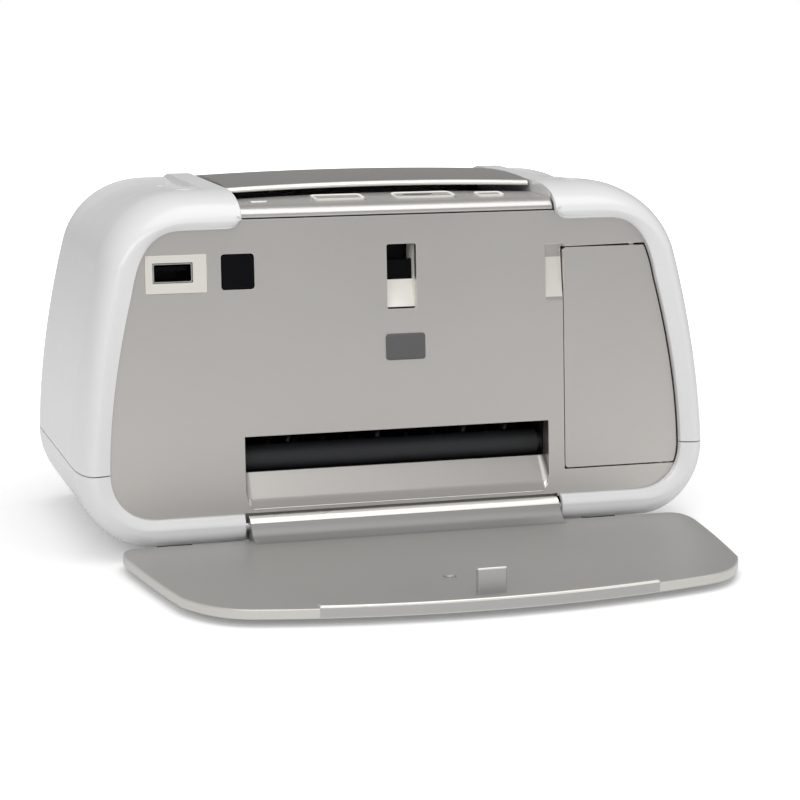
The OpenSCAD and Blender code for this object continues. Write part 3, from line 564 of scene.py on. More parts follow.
def skin_line(outer, edge, direction):
    """One line of the casing's skin, from the opening's edge over the ridge to the back wall."""
    nx, nz = direction
    ox, oz = outer
    inward = rounding(direction, *RIDGE_IN)
    depth = rounding(direction, *RIDGE_DEEP)
    ridge = (ox - nx * inward, oz - nz * inward)
    span = math.hypot(ridge[0] - edge[0], ridge[1] - edge[1])
    line = []
    for share, deep in zip(BAND, BAND_DEPTH):
        t = share / max(span, 1.2)
        x, z = edge[0] + (ridge[0] - edge[0]) * t, edge[1] + (ridge[1] - edge[1]) * t
        line.append((x, SLOPE * z + deep, z))
    for k in LIP_SHARES:
        x, z = edge[0] + (ridge[0] - edge[0]) * k, edge[1] + (ridge[1] - edge[1]) * k
        line.append((x, SLOPE * z + 1.1 * (1 - ease(k)) ** 1.3, z))
    for i in range(FRONT_STEPS + 1):
        out, deep = blend3((0, 0), (0.6, 0.03), (0.94, 0.375), (1, 1), i / FRONT_STEPS)
        x, z = ridge[0] + nx * inward * out, ridge[1] + nz * inward * out
        line.append((x, SLOPE * z + depth * deep, z))
    back_in = rounding(direction, *BACK_IN)
    back_deep = rounding(direction, *BACK_DEEP)
    start, stop = line[-1][1], DEPTH - back_deep
    for k in MIDDLE:
        line.append((ox, start + (stop - start) * k, oz))
    for i in range(BACK_STEPS + 1):
        inside, deep = blend3((0, 0), (0, 0.636), (0.364, 1), (1, 1), i / BACK_STEPS)
        line.append((ox - nx * back_in * inside, stop + back_deep * deep, oz - nz * back_in * inside))
    return [(x, y, z - max(0, nz) * dish(x, y)) for x, y, z in line]


def shell_of(name, columns, centre_z, first_centre_row):
    """Half of a casing shell, carried on to the middle behind its cut, before it is mirrored."""
    lines = [skin_line(*column) for column in columns]
    rows = [list(row) for row in zip(*lines)]
    half = surface(name, rows)
    arm = lines[-1] if centre_z > SEAM_Z else lines[0]
    reach = arm[0][0]
    inner_rows = [[(reach * k, p[1], p[2]) for k in (1, 0.66, 0.33, 0)]
                  for p in arm[first_centre_row:]]
    middle = surface(name + "_middle", inner_rows)
    wall = [row[-1] for row in lines]
    if centre_z > SEAM_Z:
        wall += [(arm[-1][0] * k, arm[-1][1], arm[-1][2]) for k in (0.66, 0.33, 0)]
        wall.append((0, DEPTH, lines[0][-1][2]))
    else:
        wall = [(arm[-1][0] * k, arm[-1][1], arm[-1][2]) for k in (0, 0.33, 0.66)] + wall
        wall.append((0, DEPTH, lines[-1][-1][2]))
    deselect()
    bpy.ops.mesh.primitive_circle_add(vertices=len(wall), fill_type="NGON")
    back = bpy.context.object
    for point, place in zip(back.data.vertices, wall):
        point.co = place
    joined(half, (middle, back))
    merged(half, 0.01)
    outward(half)
    return half


def facing(piece, direction, test):
    """Turns the whole skin over if the faces that pass the test point the other way."""
    total = sum(face.normal.dot(Vector(direction)) * face.area for face in piece.data.polygons
                if test(face.center))
    if total < 0:
        edit(piece, (bpy.ops.mesh.flip_normals, {}))


def on_side_wall(p):
    return p.x > HALF_WIDTH - 3 and 40 < p.y < 70


def thick_shell(half, width):
    """Mirrors a half shell, gives it its wall and rounds its edges."""
    facing(half, (1, 0, 0), on_side_wall)
    apply_modifier(half, "MIRROR", use_axis=(True, False, False), use_clip=True,
                   merge_threshold=0.01)
    facing(half, (1, 0, 0), on_side_wall)
    apply_modifier(half, "SOLIDIFY", thickness=SHELL, offset=-1, use_even_offset=False)
    return soften(half, width, 3, 50)


def extrude_edges(piece, test, move):
    select_edges(piece, test)
    bpy.ops.mesh.extrude_region_move(TRANSFORM_OT_translate={"value": move})
    bpy.ops.object.mode_set(mode="OBJECT")


# each pad's place and its half sizes across and along
SHOULDER_PADS = ((68.6, 31.0, 3.6, 3.0), (68.2, 46.0, 3.0, 4.2), (69.0, 72.0, 1.2, 1.5))


def shoulder_marks(side):
    """Three soft oval pads moulded on top of one shoulder."""
    pads = []
    for x, y, wide, deep in SHOULDER_PADS:
        deselect()
        bpy.ops.mesh.primitive_uv_sphere_add(segments=28, ring_count=14)
        pad = bpy.context.object
        pad.data.transform(Matrix.Diagonal((wide, deep, 0.6, 1)))
        pad.data.transform(Matrix.Translation((side * x, y, TOP_Z - dish(x, y) - 0.3)))
        pads.append(pad)
    return pads


def rear_holes():
    """Cutters for the plug openings in the back wall, round their sockets."""
    port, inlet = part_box("usb_device_port"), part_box("power_inlet")
    middle = (inlet[0] + inlet[1]) / 2 / MM
    before, behind = DEPTH - 14, DEPTH + 5
    return (block("port_hole", port[0].x / MM - 0.2, port[1].x / MM + 0.3, before, behind,
                  port[0].z / MM - 0.3, port[1].z / MM + 0.3),
            rod("inlet_hole", (middle.x, before, middle.z), (middle.x, behind, middle.z), 4.4))


def upper_shell():
    """Upper casing with its arms' inner walls, its rear holes and its shoulder pads."""
    half = shell_of("upper_shell", upper_columns(), TOP_Z, BACK_BAR_ROW)
    for point in half.data.vertices:
        if point.co.z < SEAM_Z + 0.05:
            point.co.z = SEAM_Z + 0.2
    extrude_edges(half, lambda p: abs(p.x - ARM_GAP) < 0.02 and 13 < p.y < 104.5 and p.z > 110,
                  (0, 0, -8.5))
    piece = thick_shell(half, CASE_EDGE)
    for hole in rear_holes():
        combine(piece, hole)
    joined(piece, shoulder_marks(-1) + shoulder_marks(1))
    pick(piece)
    bpy.ops.object.shade_smooth_by_angle(angle=math.radians(32))
    return fitted(piece, BODY, "printer", "white_casing", WHITE, "upper_case")


def lower_shell():
    """Lower casing with the low wall under the tray's hinge."""
    half = shell_of("lower_shell", lower_columns(), FLOOR_Z, BELLY_ROW)
    for point in half.data.vertices:
        if point.co.z > SEAM_Z - 0.05:
            point.co.z = SEAM_Z - 0.1
    front_y = min(p.co.y for p in half.data.vertices if p.co.x < 40)
    extrude_edges(half, lambda p: abs(p.y - front_y) < 0.05 and p.x < LOWER_ARM_GAP + 0.1 and p.z < 5,
                  (0, 0, 10))
    piece = thick_shell(half, CASE_EDGE)
    return fitted(piece, BODY, "printer", "white_casing", WHITE, "lower_case")


upper_shell()
lower_shell()

# ---- shapes shared by the front pieces ----

TILTED = Matrix.Rotation(math.pi / 2 - SLOPE_ANGLE, 4, "X")
PANEL_BACK = -RECESS - PANEL_THICK
PANEL_LOW = 12.6
PANEL_HIGH = TOP_Z - 10.3
SLOT_LEFT, SLOT_RIGHT, SLOT_TOP = -54.5, 51.9, 38.8
SLOT_FOOT = 14.5
STAR_X = [-37.6, -6.3, 24.3, 39.3]
DOOR_LEFT, DOOR_LOW, DOOR_HIGH = 57.9, 22.3, 98.2
DOOR_AXIS = (HALF_WIDTH - 17.4, 30.0)
DOOR_TILT = math.radians(7.74)
DOOR_CORNER = 1.2
DOOR_PIN_HOLE = 1.3
SOCKET_X, SOCKET_LOW, SOCKET_HIGH = 24 - HALF_WIDTH, 87.5, 100.1
WINDOW_X = 49 - HALF_WIDTH
LATCH_LOW, LATCH_HIGH, LATCH_HALF = 79.5, 101.2, 5.1
HOLLOW_LOW, HOLLOW_HIGH, HOLLOW_WIDE, HOLLOW_DEEP = 79.6, 99.4, 6.5, 2.1
THROUGH = (-20, 10)


def opening_line(out):
    """Right edge of the panel opening from the bottom up, moved out by a distance."""
    line = [blend3(*EDGE_CORNER, i / 14) for i in range(14)]
    line += [blend2(*EDGE_SIDE, i / 12) for i in range(12)]
    line += [blend3(*EDGE_TOP, i / 14) for i in range(15)]
    moved = []
    for i, (x, h) in enumerate(line):
        nx, nh = turned(line[max(0, i - 1)], line[min(len(line) - 1, i + 1)])
        moved.append((x + nx * out, h + nh * out))
    return moved


def symmetric(right):
    """Closed outline from its right half, which is listed from the bottom up."""
    return right + [(-x, h) for x, h in reversed(right)]


def between(line, low, high):
    """The stretch of a rising line between two heights, with its ends on them."""
    part = [p for p in line if low < p[1] < high]
    for height, place in ((low, 0), (high, len(part) + 1)):
        for a, b in zip(line, line[1:]):
            if a[1] <= height <= b[1] and b[1] > a[1]:
                t = (height - a[1]) / (b[1] - a[1])
                part.insert(place, (a[0] + (b[0] - a[0]) * t, height))
                break
    return part


def door_rod(name, low, high, r):
    """A round bar on the door's hinge line."""
    def place(y):
        return (DOOR_AXIS[0] - y * math.sin(DOOR_TILT), DOOR_AXIS[1] + y * math.cos(DOOR_TILT),
                PANEL_BACK + 0.2)
    return rod(name, place(low), place(high), r)


# ---- front panel with its paper exit ----

def exit_cutter():
    """The space of the paper exit: ramp with a small step, rounded at its two ends."""
    step = [(0, SLOT_FOOT - 0.5), (4.4, SLOT_FOOT + 0.1), (4.75, SLOT_FOOT + 1.4), (5.4, SLOT_FOOT + 2.1),
            (5.8, SLOT_FOOT + 3.5)]
    rest = [(11, 25.9), (16, 25.9), (16, SLOT_TOP), (0, SLOT_TOP)]
    cutter = bar_of("exit_space", step + rest, SLOT_LEFT, SLOT_RIGHT)
    for end in (SLOT_LEFT, SLOT_RIGHT):
        select_edges(cutter, lambda p: abs(p.x - end) < 0.01 and p.z < 26 and p.y < 11.1)
        bpy.ops.mesh.bevel(offset=2.4, segments=5, affect="EDGES")
        bpy.ops.object.mode_set(mode="OBJECT")
    outward(cutter)
    return cutter


def panel_outline():
    """Outline of the panel, reaching behind the casing's edge and over the tray's hinge."""
    right = [(ARM_GAP + 0.5, PANEL_LOW + 1.0), (ARM_GAP + 0.5, PANEL_LOW), (84, PANEL_LOW)]
    right += [p for p in opening_line(2.0) if PANEL_LOW < p[1] < PANEL_HIGH]
    right += [(ARM_STRAIGHT, PANEL_HIGH), (ARM_GAP + 3.6, PANEL_HIGH), (ARM_GAP + 3.6, TOP_Z - 8.1)]
    return symmetric(right)


def door_hole():
    """Hole for the door; its top gap widens towards the tilted hinge, where the door needs it."""
    low, high = DOOR_LOW - 0.4, DOOR_HIGH + 0.7
    outline = [(DOOR_LEFT - 0.2, low)] + between(opening_line(0.05), low, high)
    outline.append((DOOR_LEFT - 0.2, DOOR_HIGH + 0.25))
    return outline


def finger_hollow():
    """Space for a fingertip beside the door: deep above and running out below."""
    floor_z = -RECESS - HOLLOW_DEEP
    line = [(HOLLOW_HIGH, 0), (HOLLOW_HIGH, floor_z)]
    line += [blend2((HOLLOW_HIGH, floor_z), (91, floor_z), (HOLLOW_LOW, -RECESS + 0.05), i / 12)
             for i in range(1, 13)]
    return bar_of("finger_hollow", line + [(HOLLOW_LOW, 0)], DOOR_LEFT - HOLLOW_WIDE, DOOR_LEFT + 0.1)


def front_panel():
    """Sloped panel with its holes, door knuckles and the frame and ramp of the paper exit."""
    piece = plate("silver_panel", panel_outline(), PANEL_BACK, -RECESS)
    holes = {
        "door_hole": door_hole(),
        "latch_hole": rounded_rect(LATCH_X - LATCH_HALF, LATCH_X + LATCH_HALF, LATCH_LOW, LATCH_HIGH, 0.7),
        "socket_hole": rounded_rect(SOCKET_X - 0.2, SOCKET_X + 20.2, SOCKET_LOW, SOCKET_HIGH, 0.7),
        "window_hole": rounded_rect(WINDOW_X, WINDOW_X + 11.1, 88, 99.7, 1.1),
    }
    for name, outline in holes.items():
        combine(piece, plate(name, outline, *THROUGH))
    combine(piece, finger_hollow())
    for low, high in ((-13.5, -8.3), (70.3, 75)):
        knuckle = door_rod("knuckle", low, high, 2.4)
        combine(knuckle, block("flush", 70, HALF_WIDTH, 0, TOP_Z, -RECESS - 0.6, 10))
        combine(piece, knuckle, "UNION")
        combine(piece, door_rod("bore", low - 1, high + 1, DOOR_PIN_HOLE))
    piece.data.transform(TILTED)
    frame_line = [(5.2, 14.1), (7.3, 40.4), (11.4, 40.4), (11.4, 22.3), (6.6, 14.3)]
    combine(piece, bar_of("exit_frame", frame_line, SLOT_LEFT - 1.8, SLOT_RIGHT + 1.8), "UNION")
    combine(piece, exit_cutter())
    for x in STAR_X:
        combine(piece, block("star_notch", x - 1.4, x + 1.4, 7.4, 14, SLOT_TOP - 1, SLOT_TOP + 1.6))
    soften(piece, 0.18, 3, 36)
    piece.data.materials.append(PANEL)
    # The panel's rounded top edge is painted bright: painted highlight.
    painted(piece, TRIM_AND_HIGHLIGHT, on_top_edge)
    # The finger hollow's lower part is painted bright: painted highlight; its deep top keeps the panel
    # paint.
    painted(piece, TRIM_AND_HIGHLIGHT, in_finger_hollow)
    return fitted(piece, BODY, "printer", "silver_paint", None, "front_panel")


def on_top_edge(centre, normal):
    return centre.z > PANEL_HIGH + 1.8 and normal.z > 0.3 and abs(centre.x) < ARM_GAP


def in_finger_hollow(centre, normal):
    spot = TILTED.inverted() @ centre
    beside_door = DOOR_LEFT - 6.4 < spot.x < DOOR_LEFT - 0.3 and 80.5 < spot.y < 94.5
    return beside_door and -RECESS - HOLLOW_DEEP - 0.2 < spot.z < -RECESS - 0.15


front_panel()


def door_outline():
    """Outline of the door, with its two free corners rounded."""
    def corner(height, up, turns):
        return [(DOOR_LEFT + DOOR_CORNER - DOOR_CORNER * math.cos(math.radians(a)),
                 height + up * DOOR_CORNER * math.sin(math.radians(a))) for a in turns]
    foot = corner(DOOR_LOW + DOOR_CORNER, -1, (0, 30, 60, 90))
    head = corner(DOOR_HIGH - DOOR_CORNER, 1, (90, 60, 30, 0))
    return foot + between(opening_line(-0.45), DOOR_LOW, DOOR_HIGH) + head


def ink_door():
    """Flat door with two ribs and two knuckles behind."""
    piece = plate("ink_bay_cover", door_outline(), PANEL_BACK + 0.2, -RECESS)
    for x in (DOOR_LEFT + 4.1, DOOR_LEFT + 18.1):
        combine(piece, block("rib", x, x + 1.6, 30, 92, PANEL_BACK - 1.2, PANEL_BACK + 0.6), "UNION")
    for low, high in ((-7.2, 0.8), (61, 69.2)):
        knuckle = door_rod("knuckle", low, high, 2.1)
        combine(knuckle, block("flush", 60, HALF_WIDTH, 0, DOOR_LOW, -20, 10))
        combine(knuckle, block("flush", 60, HALF_WIDTH, DOOR_HIGH, TOP_Z, -20, 10))
        combine(piece, knuckle, "UNION")
        combine(piece, door_rod("bore", low - 1, high + 1, DOOR_PIN_HOLE))
    soften(piece, 0.18, 3, 36)
    return fitted(piece, FRONT, "ink_bay_door", "silver_paint", PANEL, "ink_door")


ink_door()


def latch_pocket():
    """Pocket for the tray's tab: a curved chamfer below, painted pale as a highlight, and a hole above,
    painted black as shade.
    """
    piece = block("latch_pocket", LATCH_X - 7, LATCH_X + 7, 77, 103, -16, PANEL_BACK - 0.05)
    space = [(LATCH_HIGH, 0), (LATCH_HIGH, -15.4), (95.7, -15.4), (95.7, -9.6)]
    space += [blend3((91.2, -9.6), (87, -9.5), (82.2, -8.1), (80.1, PANEL_BACK), i / 12) for i in range(13)]
    combine(piece, bar_of("latch_space", space + [(80.1, 0)], LATCH_X - 5.2, LATCH_X + 5.2))
    soften(piece, 0.15, 2, 40)
    piece.data.materials.append(GREY)
    # The chamfer is painted pale: painted highlight.
    painted(piece, PALE_HIGHLIGHT, on_chamfer)
    # The hole's walls are painted black: painted shade.
    painted(piece, BLACK, in_latch_hole)
    return fitted(piece, FRONT, "printer", "grey_plastic", None, "tray_catch")


def on_chamfer(spot, normal):
    return abs(spot.x - LATCH_X) < 5.4 and 79.9 < spot.y < 89 and -9.7 < spot.z < PANEL_BACK - 0.02


def in_latch_hole(spot, normal):
    return abs(spot.x - LATCH_X) < 5.4 and 89 <= spot.y < LATCH_HIGH + 0.3


latch_pocket()


def socket_plate():
    """Pale plate round the front socket."""
    outline = rounded_rect(SOCKET_X - 0.2, SOCKET_X + 20.2, SOCKET_LOW, SOCKET_HIGH, 0.5)
    piece = plate("socket_plate", outline, -RECESS - 2, -RECESS + 0.15)
    opening = rounded_rect(SOCKET_X + 2.3, SOCKET_X + 15.6, 90.9, 97.5, 0.4)
    combine(piece, plate("opening", opening, -10, 10))
    soften(piece, 0.15)
    return fitted(piece, FRONT, "printer", "ivory_plastic", IVORY, "usb_bezel")


def camera_socket():
    """Sheet shell of the plug socket with its tongue and four contacts."""
    x0, x1 = SOCKET_X + 2.45, SOCKET_X + 15.45
    piece = plate("camera_socket", rounded_rect(x0, x1, 91.05, 97.35, 0.6), -17, -3.7)
    combine(piece, plate("inside", rounded_rect(x0 + 0.4, x1 - 0.4, 91.45, 96.95, 0.4), -16.6, 10))
    soften(piece, 0.12, 2)
    piece.data.materials.append(STEEL)
    # The shell is painted black deeper in: painted shade; only its mouth shows steel.
    painted(piece, BLACK, lambda spot, normal: spot.z < -3.85)
    tongue = block("tongue", x0 + 0.7, x1 - 0.7, 94.6, 96.3, -16.5, -8)
    soften(tongue, 0.2)
    tongue.data.materials.append(BLACK)
    parts = [tongue]
    for i in range(4):
        contact = block("contact", x0 + 2.3 + 2.4 * i, x0 + 3.5 + 2.4 * i, 94.4, 94.7, -15.5, -11)
        soften(contact, 0.08, 2)
        contact.data.materials.append(BRASS)
        parts.append(contact)
    joined(piece, parts)
    return fitted(piece, FRONT, "printer", "steel", None, "usb_host_port")


def dark_window():
    """Dark glossy pane set a little back in its hole."""
    piece = plate("dark_window", rounded_rect(WINDOW_X + 0.25, WINDOW_X + 10.85, 88.25, 99.45, 0.9),
                  -RECESS - 1.6, -RECESS - 0.15)
    soften(piece, 0.35)
    return fitted(piece, FRONT, "printer", "black_gloss", BLACK, "infrared_window")


def badge_plate():
    """Bare plate with a fine rim and nothing on it."""
    piece = plate("bare_badge_plate", rounded_rect(-5.4, 8.2, 62.4, 71.2, 1.0, 5), -RECESS, -RECESS + 0.6)
    select_faces(piece, lambda centre, normal: normal.z > 0.9)
    bpy.ops.mesh.inset(thickness=0.7, depth=-0.15)
    bpy.ops.object.mode_set(mode="OBJECT")
    soften(piece, 0.12, 2)
    return fitted(piece, FRONT, "printer", "grey_plastic", BADGE, "blank_badge")


socket_plate()
camera_socket()
dark_window()
badge_plate()

# ---- deck, keys and lid ----

MIDDLE_HALF = ARM_GAP - 0.2
CROWN_PARTS = 36


def sag(x, y):
    """How far the middle parts fall away from the middle towards the arms."""
    return 1.15 * (x / MIDDLE_HALF) ** 2 * ease((y - 14) / 22)


def bowed(piece):
    for point in piece.data.vertices:
        point.co.z -= sag(point.co.x, point.co.y)
    return piece


# each key's piece, body, place on the deck, size and corner
KEYS = {
    "print_button": ("print_key_cap", "print_key", (-17.5, 25), (18, 9), 1.5),
    "menu_button": ("menu_key_cap", "menu_key", (12.5, 25), (22, 9.6), 2.6),
    "cancel_button": ("cancel_key_cap", "cancel_key", (35.5, 23), (10, 7), 1.2),
}
LIGHT_AT, LIGHT_SIZE = (-45, 23), (6, 2.4)
DECK_BACK = 33.5


def key_deck():
    """Sloping deck with a rounded nose above the panel and holes for its keys."""
    nose = [(10.75, 110.8), (10.6, 111.3), (10.65, 111.95), (11.1, 112.6), (11.8, 113.3), (12.7, 113.85),
            (13.8, 114.2), (15, 114.49)]
    slope = [(y, DECK_Z + (y - DECK_Y) * math.tan(DECK_ANGLE)) for y in (18, 22, 26, 30)]
    under = [(13.4, 110.8), (15, 112.3), (31.9, 113.6), (31.9, 108), (DECK_BACK, 108), (DECK_BACK, 115.9)]
    piece = bar_of("key_deck", under + slope[::-1] + nose[::-1], -MIDDLE_HALF, MIDDLE_HALF, CROWN_PARTS)
    bowed(piece)
    spots = [(key[2], key[3]) for key in KEYS.values()] + [(LIGHT_AT, LIGHT_SIZE)]
    for at, (wide, deep) in spots:
        hole = plate("key_hole", rounded_rect(-wide / 2, wide / 2, -deep / 2, deep / 2, 0.9), -5, 6)
        hole.data.transform(on_deck(*at))
        combine(piece, hole)
    soften(piece, 0.25, 3, 30)
    return fitted(piece, BODY, "printer", "silver_paint", DECK, "control_deck")


def key_cap(node):
    """Cap with a raised rim painted pale as a highlight, a satin pad, a flange and a stem."""
    name, body, at, size, corner = KEYS[node]
    wide, deep = size[0] / 2 - 0.3, size[1] / 2 - 0.3
    cap = plate(name, rounded_rect(-wide, wide, -deep, deep, corner, 6), -2.4, 0.6)
    # The cap's sides and rim are painted pale: painted highlight; the inset top takes the deck paint.
    cap.data.materials.append(PALE_HIGHLIGHT)
    cap.data.materials.append(DECK)
    select_faces(cap, lambda centre, normal: normal.z > 0.9)
    bpy.ops.mesh.inset(thickness=0.95, depth=-0.3)
    cap.active_material_index = 1
    bpy.ops.object.material_slot_assign()
    bpy.ops.object.mode_set(mode="OBJECT")
    if node == "menu_button":
        rocker_marks(cap)
    soften(cap, 0.16, 3)
    flange = block("flange", -wide - 1, wide + 1, -deep - 0.5, deep + 0.5, -2.9, -2.4)
    stem = rod("stem", (0, 0, -3.2), (0, 0, -2.8), 1.6)
    for part in (flange, stem):
        part.data.materials.append(TRIM_AND_HIGHLIGHT)
    joined(cap, [flange, stem])
    return fitted(cap, BODY @ on_deck(*at), body, "bright_trim", None, node)


def oval(at, wide, deep, steps):
    turns = [2 * math.pi * i / steps for i in range(steps)]
    return [(wide * math.cos(a) + at[0], deep * math.sin(a) + at[1]) for a in turns]


DISH_AT = (-1.5, 1.1)


def in_thumb_dish(spot, normal):
    reach = math.hypot((spot.x - DISH_AT[0]) / 5.5, (spot.y - DISH_AT[1]) / 1.8)
    return -0.35 < spot.z < 0.29 and reach < 1.02


def rocker_marks(cap):
    """Oval dish painted dark as shade, with a raised thumb pad across the wide key."""
    combine(cap, plate("dish", oval(DISH_AT, 5.4, 1.7, 40), -0.3, 2))
    # The dish is painted dark: painted shade.
    painted(cap, DARK, in_thumb_dish)
    pad = plate("pad", oval((DISH_AT[0], 1.3), 4.3, 0.95, 36), -0.5, 0.42)
    pad.data.materials.append(GREY)
    joined(cap, [pad])


def status_lens():
    """Small frosted lens of the light beside the keys."""
    wide, deep = LIGHT_SIZE[0] / 2 - 0.2, LIGHT_SIZE[1] / 2 - 0.2
    piece = plate("status_lens", rounded_rect(-wide, wide, -deep, deep, 0.7), -4.9, -0.1)
    soften(piece, 0.25)
    return fitted(piece, BODY @ on_deck(*LIGHT_AT), "printer", "clear_lens", LENS, "status_light")


key_deck()
for key in KEYS:
    key_cap(key)
status_lens()

LID_FRONT = DECK_BACK + 0.7
LID_TAIL = DEPTH - 9.6
LID_HALF = ARM_GAP - 0.7
LID_PIN = (DEPTH - 17, TOP_Z - 6.5)
LID_KNUCKLE = LID_HALF - 3.1
PIN_HOLE = 1.6


def lid_underside(side):
    """Stiffening ribs, the rail that holds the extender, and the knuckle with its web, on one side."""
    low = TOP_Z - 3.2
    ribs = ((LID_HALF - 16.7, 0.8, low, TOP_Z - 1.6), (LID_HALF - 7.7, 0.8, low, TOP_Z - 1.9),
            (32, 0.8, low, TOP_Z - 1.2), (29.6, 1.9, low - 0.4, low + 0.3))
    parts = [block("rib", side * x - half, side * x + half, LID_FRONT + 11.8, LID_TAIL - 12.4, z0, z1)
             for x, half, z0, z1 in ribs]
    knuckle = rod("knuckle", (side * LID_KNUCKLE, *LID_PIN), (side * LID_HALF, *LID_PIN), 4.2)
    combine(knuckle, rod("bore", (side * 40, *LID_PIN), (side * 60, *LID_PIN), PIN_HOLE))
    web = sorted((side * LID_KNUCKLE, side * LID_HALF))
    return parts + [knuckle, block("web", *web, LID_PIN[0] - 7, LID_PIN[0] - 2.2, LID_PIN[1], TOP_Z - 2.4)]


def paper_lid():
    """Crowned lid with a rolled front edge, and ribs, rails and knuckles beneath; its top is painted a
    darker grey as shade and its front band bright as a highlight.
    """
    roll = [(LID_FRONT + 0.1, -1.1), (LID_FRONT, -0.7), (LID_FRONT + 0.05, -0.3),
            (LID_FRONT + 0.35, 0.25), (LID_FRONT + 1.0, 0.7), (LID_FRONT + 2.2, 1.0)]
    top = [(LID_FRONT + 6, 1.35), (LID_FRONT + 12, 1.65), (LID_FRONT + 23.8, 1.88),
           (LID_TAIL - 30.4, 1.6), (LID_TAIL - 18.4, 0.9), (LID_TAIL - 8.4, -0.4), (LID_TAIL, -2.7)]
    under = [(LID_TAIL, -3.2), (LID_TAIL - 9.4, -3.2), (LID_TAIL - 18.4, -1.4), (LID_TAIL - 30.4, -0.6),
             (LID_FRONT + 2, -1.1)]
    profile = [(y, TOP_Z + z) for y, z in roll + top + under]
    piece = bar_of("paper_lid_cover", profile[::-1], -LID_HALF, LID_HALF, CROWN_PARTS)
    bowed(piece)
    soften(piece, 0.3, 3, 40)
    # The lid's top takes the darker grey: painted shade.
    piece.data.materials.append(LID_TOP_SHADE)
    # The lid's front band takes the bright paint: painted highlight.
    painted(piece, TRIM_AND_HIGHLIGHT, lambda centre, normal: centre.y < LID_FRONT + 1.6 and normal.y < -0.25)
    parts = lid_underside(-1) + lid_underside(1)
    for part in parts:
        soften(part, 0.15, 2)
        part.data.materials.append(DARK)
    joined(piece, parts)
    return fitted(piece, BODY, "paper_lid", "silver_paint", None, "input_lid")


paper_lid()

# ---- output tray ----

TRAY_TOP = 5.5
TRAY_LOW = 2.3
TRAY_PIN = (3.6, 9)
LIP_HALF, LIP_TOP = 54, TRAY_TOP + 0.85
TAB_TOP, STOP_TOP = 13.5, 6.3


def tray_front(x):
    return -TRAY_REACH + 0.00185 * x * x


def tray_outline():
    """Outline of the tray seen from above."""
    corner = HALF_WIDTH - 38
    half = [(corner * i / 24, tray_front(corner * i / 24)) for i in range(24)]
    half += [blend3((corner, -TRAY_REACH + 9.6), (HALF_WIDTH - 29, -TRAY_REACH + 12),
                    (HALF_WIDTH - 23.5, -77), (HALF_WIDTH - 19, -66), i / 14) for i in range(14)]
    half += [blend2((HALF_WIDTH - 19, -66), (HALF_WIDTH - 14.5, -42), (HALF_WIDTH - 11.5, -14), i / 12)
             for i in range(12)]
    half += [blend3((HALF_WIDTH - 11.5, -14), (HALF_WIDTH - 11.1, -5), (HALF_WIDTH - 13, -1.2),
                    (HALF_WIDTH - 18, -1.2), i / 10) for i in range(11)]
    return half + [(-x, y) for x, y in reversed(half[1:])]


def rimmed(piece, height, width):
    """Rounds only the edges that lie at one height."""
    select_edges(piece, lambda p: abs(p.z - height) < 0.01)
    bpy.ops.mesh.bevel(offset=width, segments=3, affect="EDGES")
    bpy.ops.object.mode_set(mode="OBJECT")
    return piece


def hinge_ramp():
    """Ramp that rises from the tray over its hinge roll; on the tray its slope is painted darker as shade
    and the roll's top bright as a highlight.
    """
    roll = [(2.6, 3.1), TRAY_PIN, (3.4, 12.5), (2.3, 12.35), (1.2, 11.8), (0.2, 10.75), (-0.7, 9.55)]
    slope = [(-1.8, 8.1), (-3.3, 6.8), (-5.4, 5.9)]
    return bar_of("ramp", [(-8.4, 5.3), (-1.8, 2.4)] + roll + slope, -ARM_GAP + 0.3, ARM_GAP - 0.3)


def front_lip():
    """Raised lip that follows the bow of the tray's front edge."""
    steps = [i * LIP_HALF / 18 for i in range(-18, 19)]
    front = [(x, tray_front(x)) for x in steps]
    back = [(x, tray_front(x) + 3.2) for x in steps[::-1]]
    return rimmed(plate("lip", front + back, TRAY_LOW + 0.6, LIP_TOP), LIP_TOP, 0.7)


def open_tray():
    """Bowed tray with its rolled hinge edge, raised front lip, latch tab and stop."""
    piece = rimmed(plate("open_tray", tray_outline(), TRAY_LOW, TRAY_TOP), TRAY_TOP, 0.45)
    rimmed(piece, TRAY_LOW, 0.5)
    barrel = rod("barrel", (-ARM_GAP + 0.3, *TRAY_PIN), (ARM_GAP - 0.3, *TRAY_PIN), 3.55, 64)
    tab = rounded_box("tab", (LATCH_X - 4.7, -87.6, 5), (LATCH_X + 4.7, -85.4, TAB_TOP), 0.7)
    stop = rod("stop", (-5.8, -64.7, 5), (-5.8, -64.7, STOP_TOP), 2, 32)
    rimmed(tab, TAB_TOP, 0.5)
    rimmed(stop, STOP_TOP, 0.5)
    for part in (barrel, hinge_ramp(), front_lip(), tab, stop):
        combine(piece, part, "UNION")
    for side in (-1, 1):
        combine(piece, rod("bore", (side * 45.5, *TRAY_PIN), (side * 60, *TRAY_PIN), PIN_HOLE))
    merged(piece)
    shaded(piece)
    piece.data.materials.append(TRAY)
    # Painted light on the tray: bright roll top and lip edge as highlights, a darker slope as shade, a
    # lighter rim as highlight; the lip's front keeps the tray paint.
    for material, test in ((TRIM_AND_HIGHLIGHT, on_roll), (SLOPE_SHADE, on_slope), (EDGE, on_rim), (TRIM_AND_HIGHLIGHT, on_lip_edge),
                           (TRAY, on_lip_front)):
        painted(piece, material, test)
    return fitted(piece, BODY, "tray", "silver_paint", None, "output_tray")


# Top of the hinge roll, painted bright: painted highlight.
def on_roll(spot, normal):
    return abs(spot.x) < ARM_GAP and -0.2 < spot.y < 4.5 and spot.z > 11.1


# Faces of the ramp's slope, painted darker: painted shade.
def on_slope(spot, normal):
    above = spot.z > TRAY_TOP + 0.02 and 0.05 < normal.z < 0.999
    return above and abs(spot.x) < ARM_GAP and -9 < spot.y < 0.2


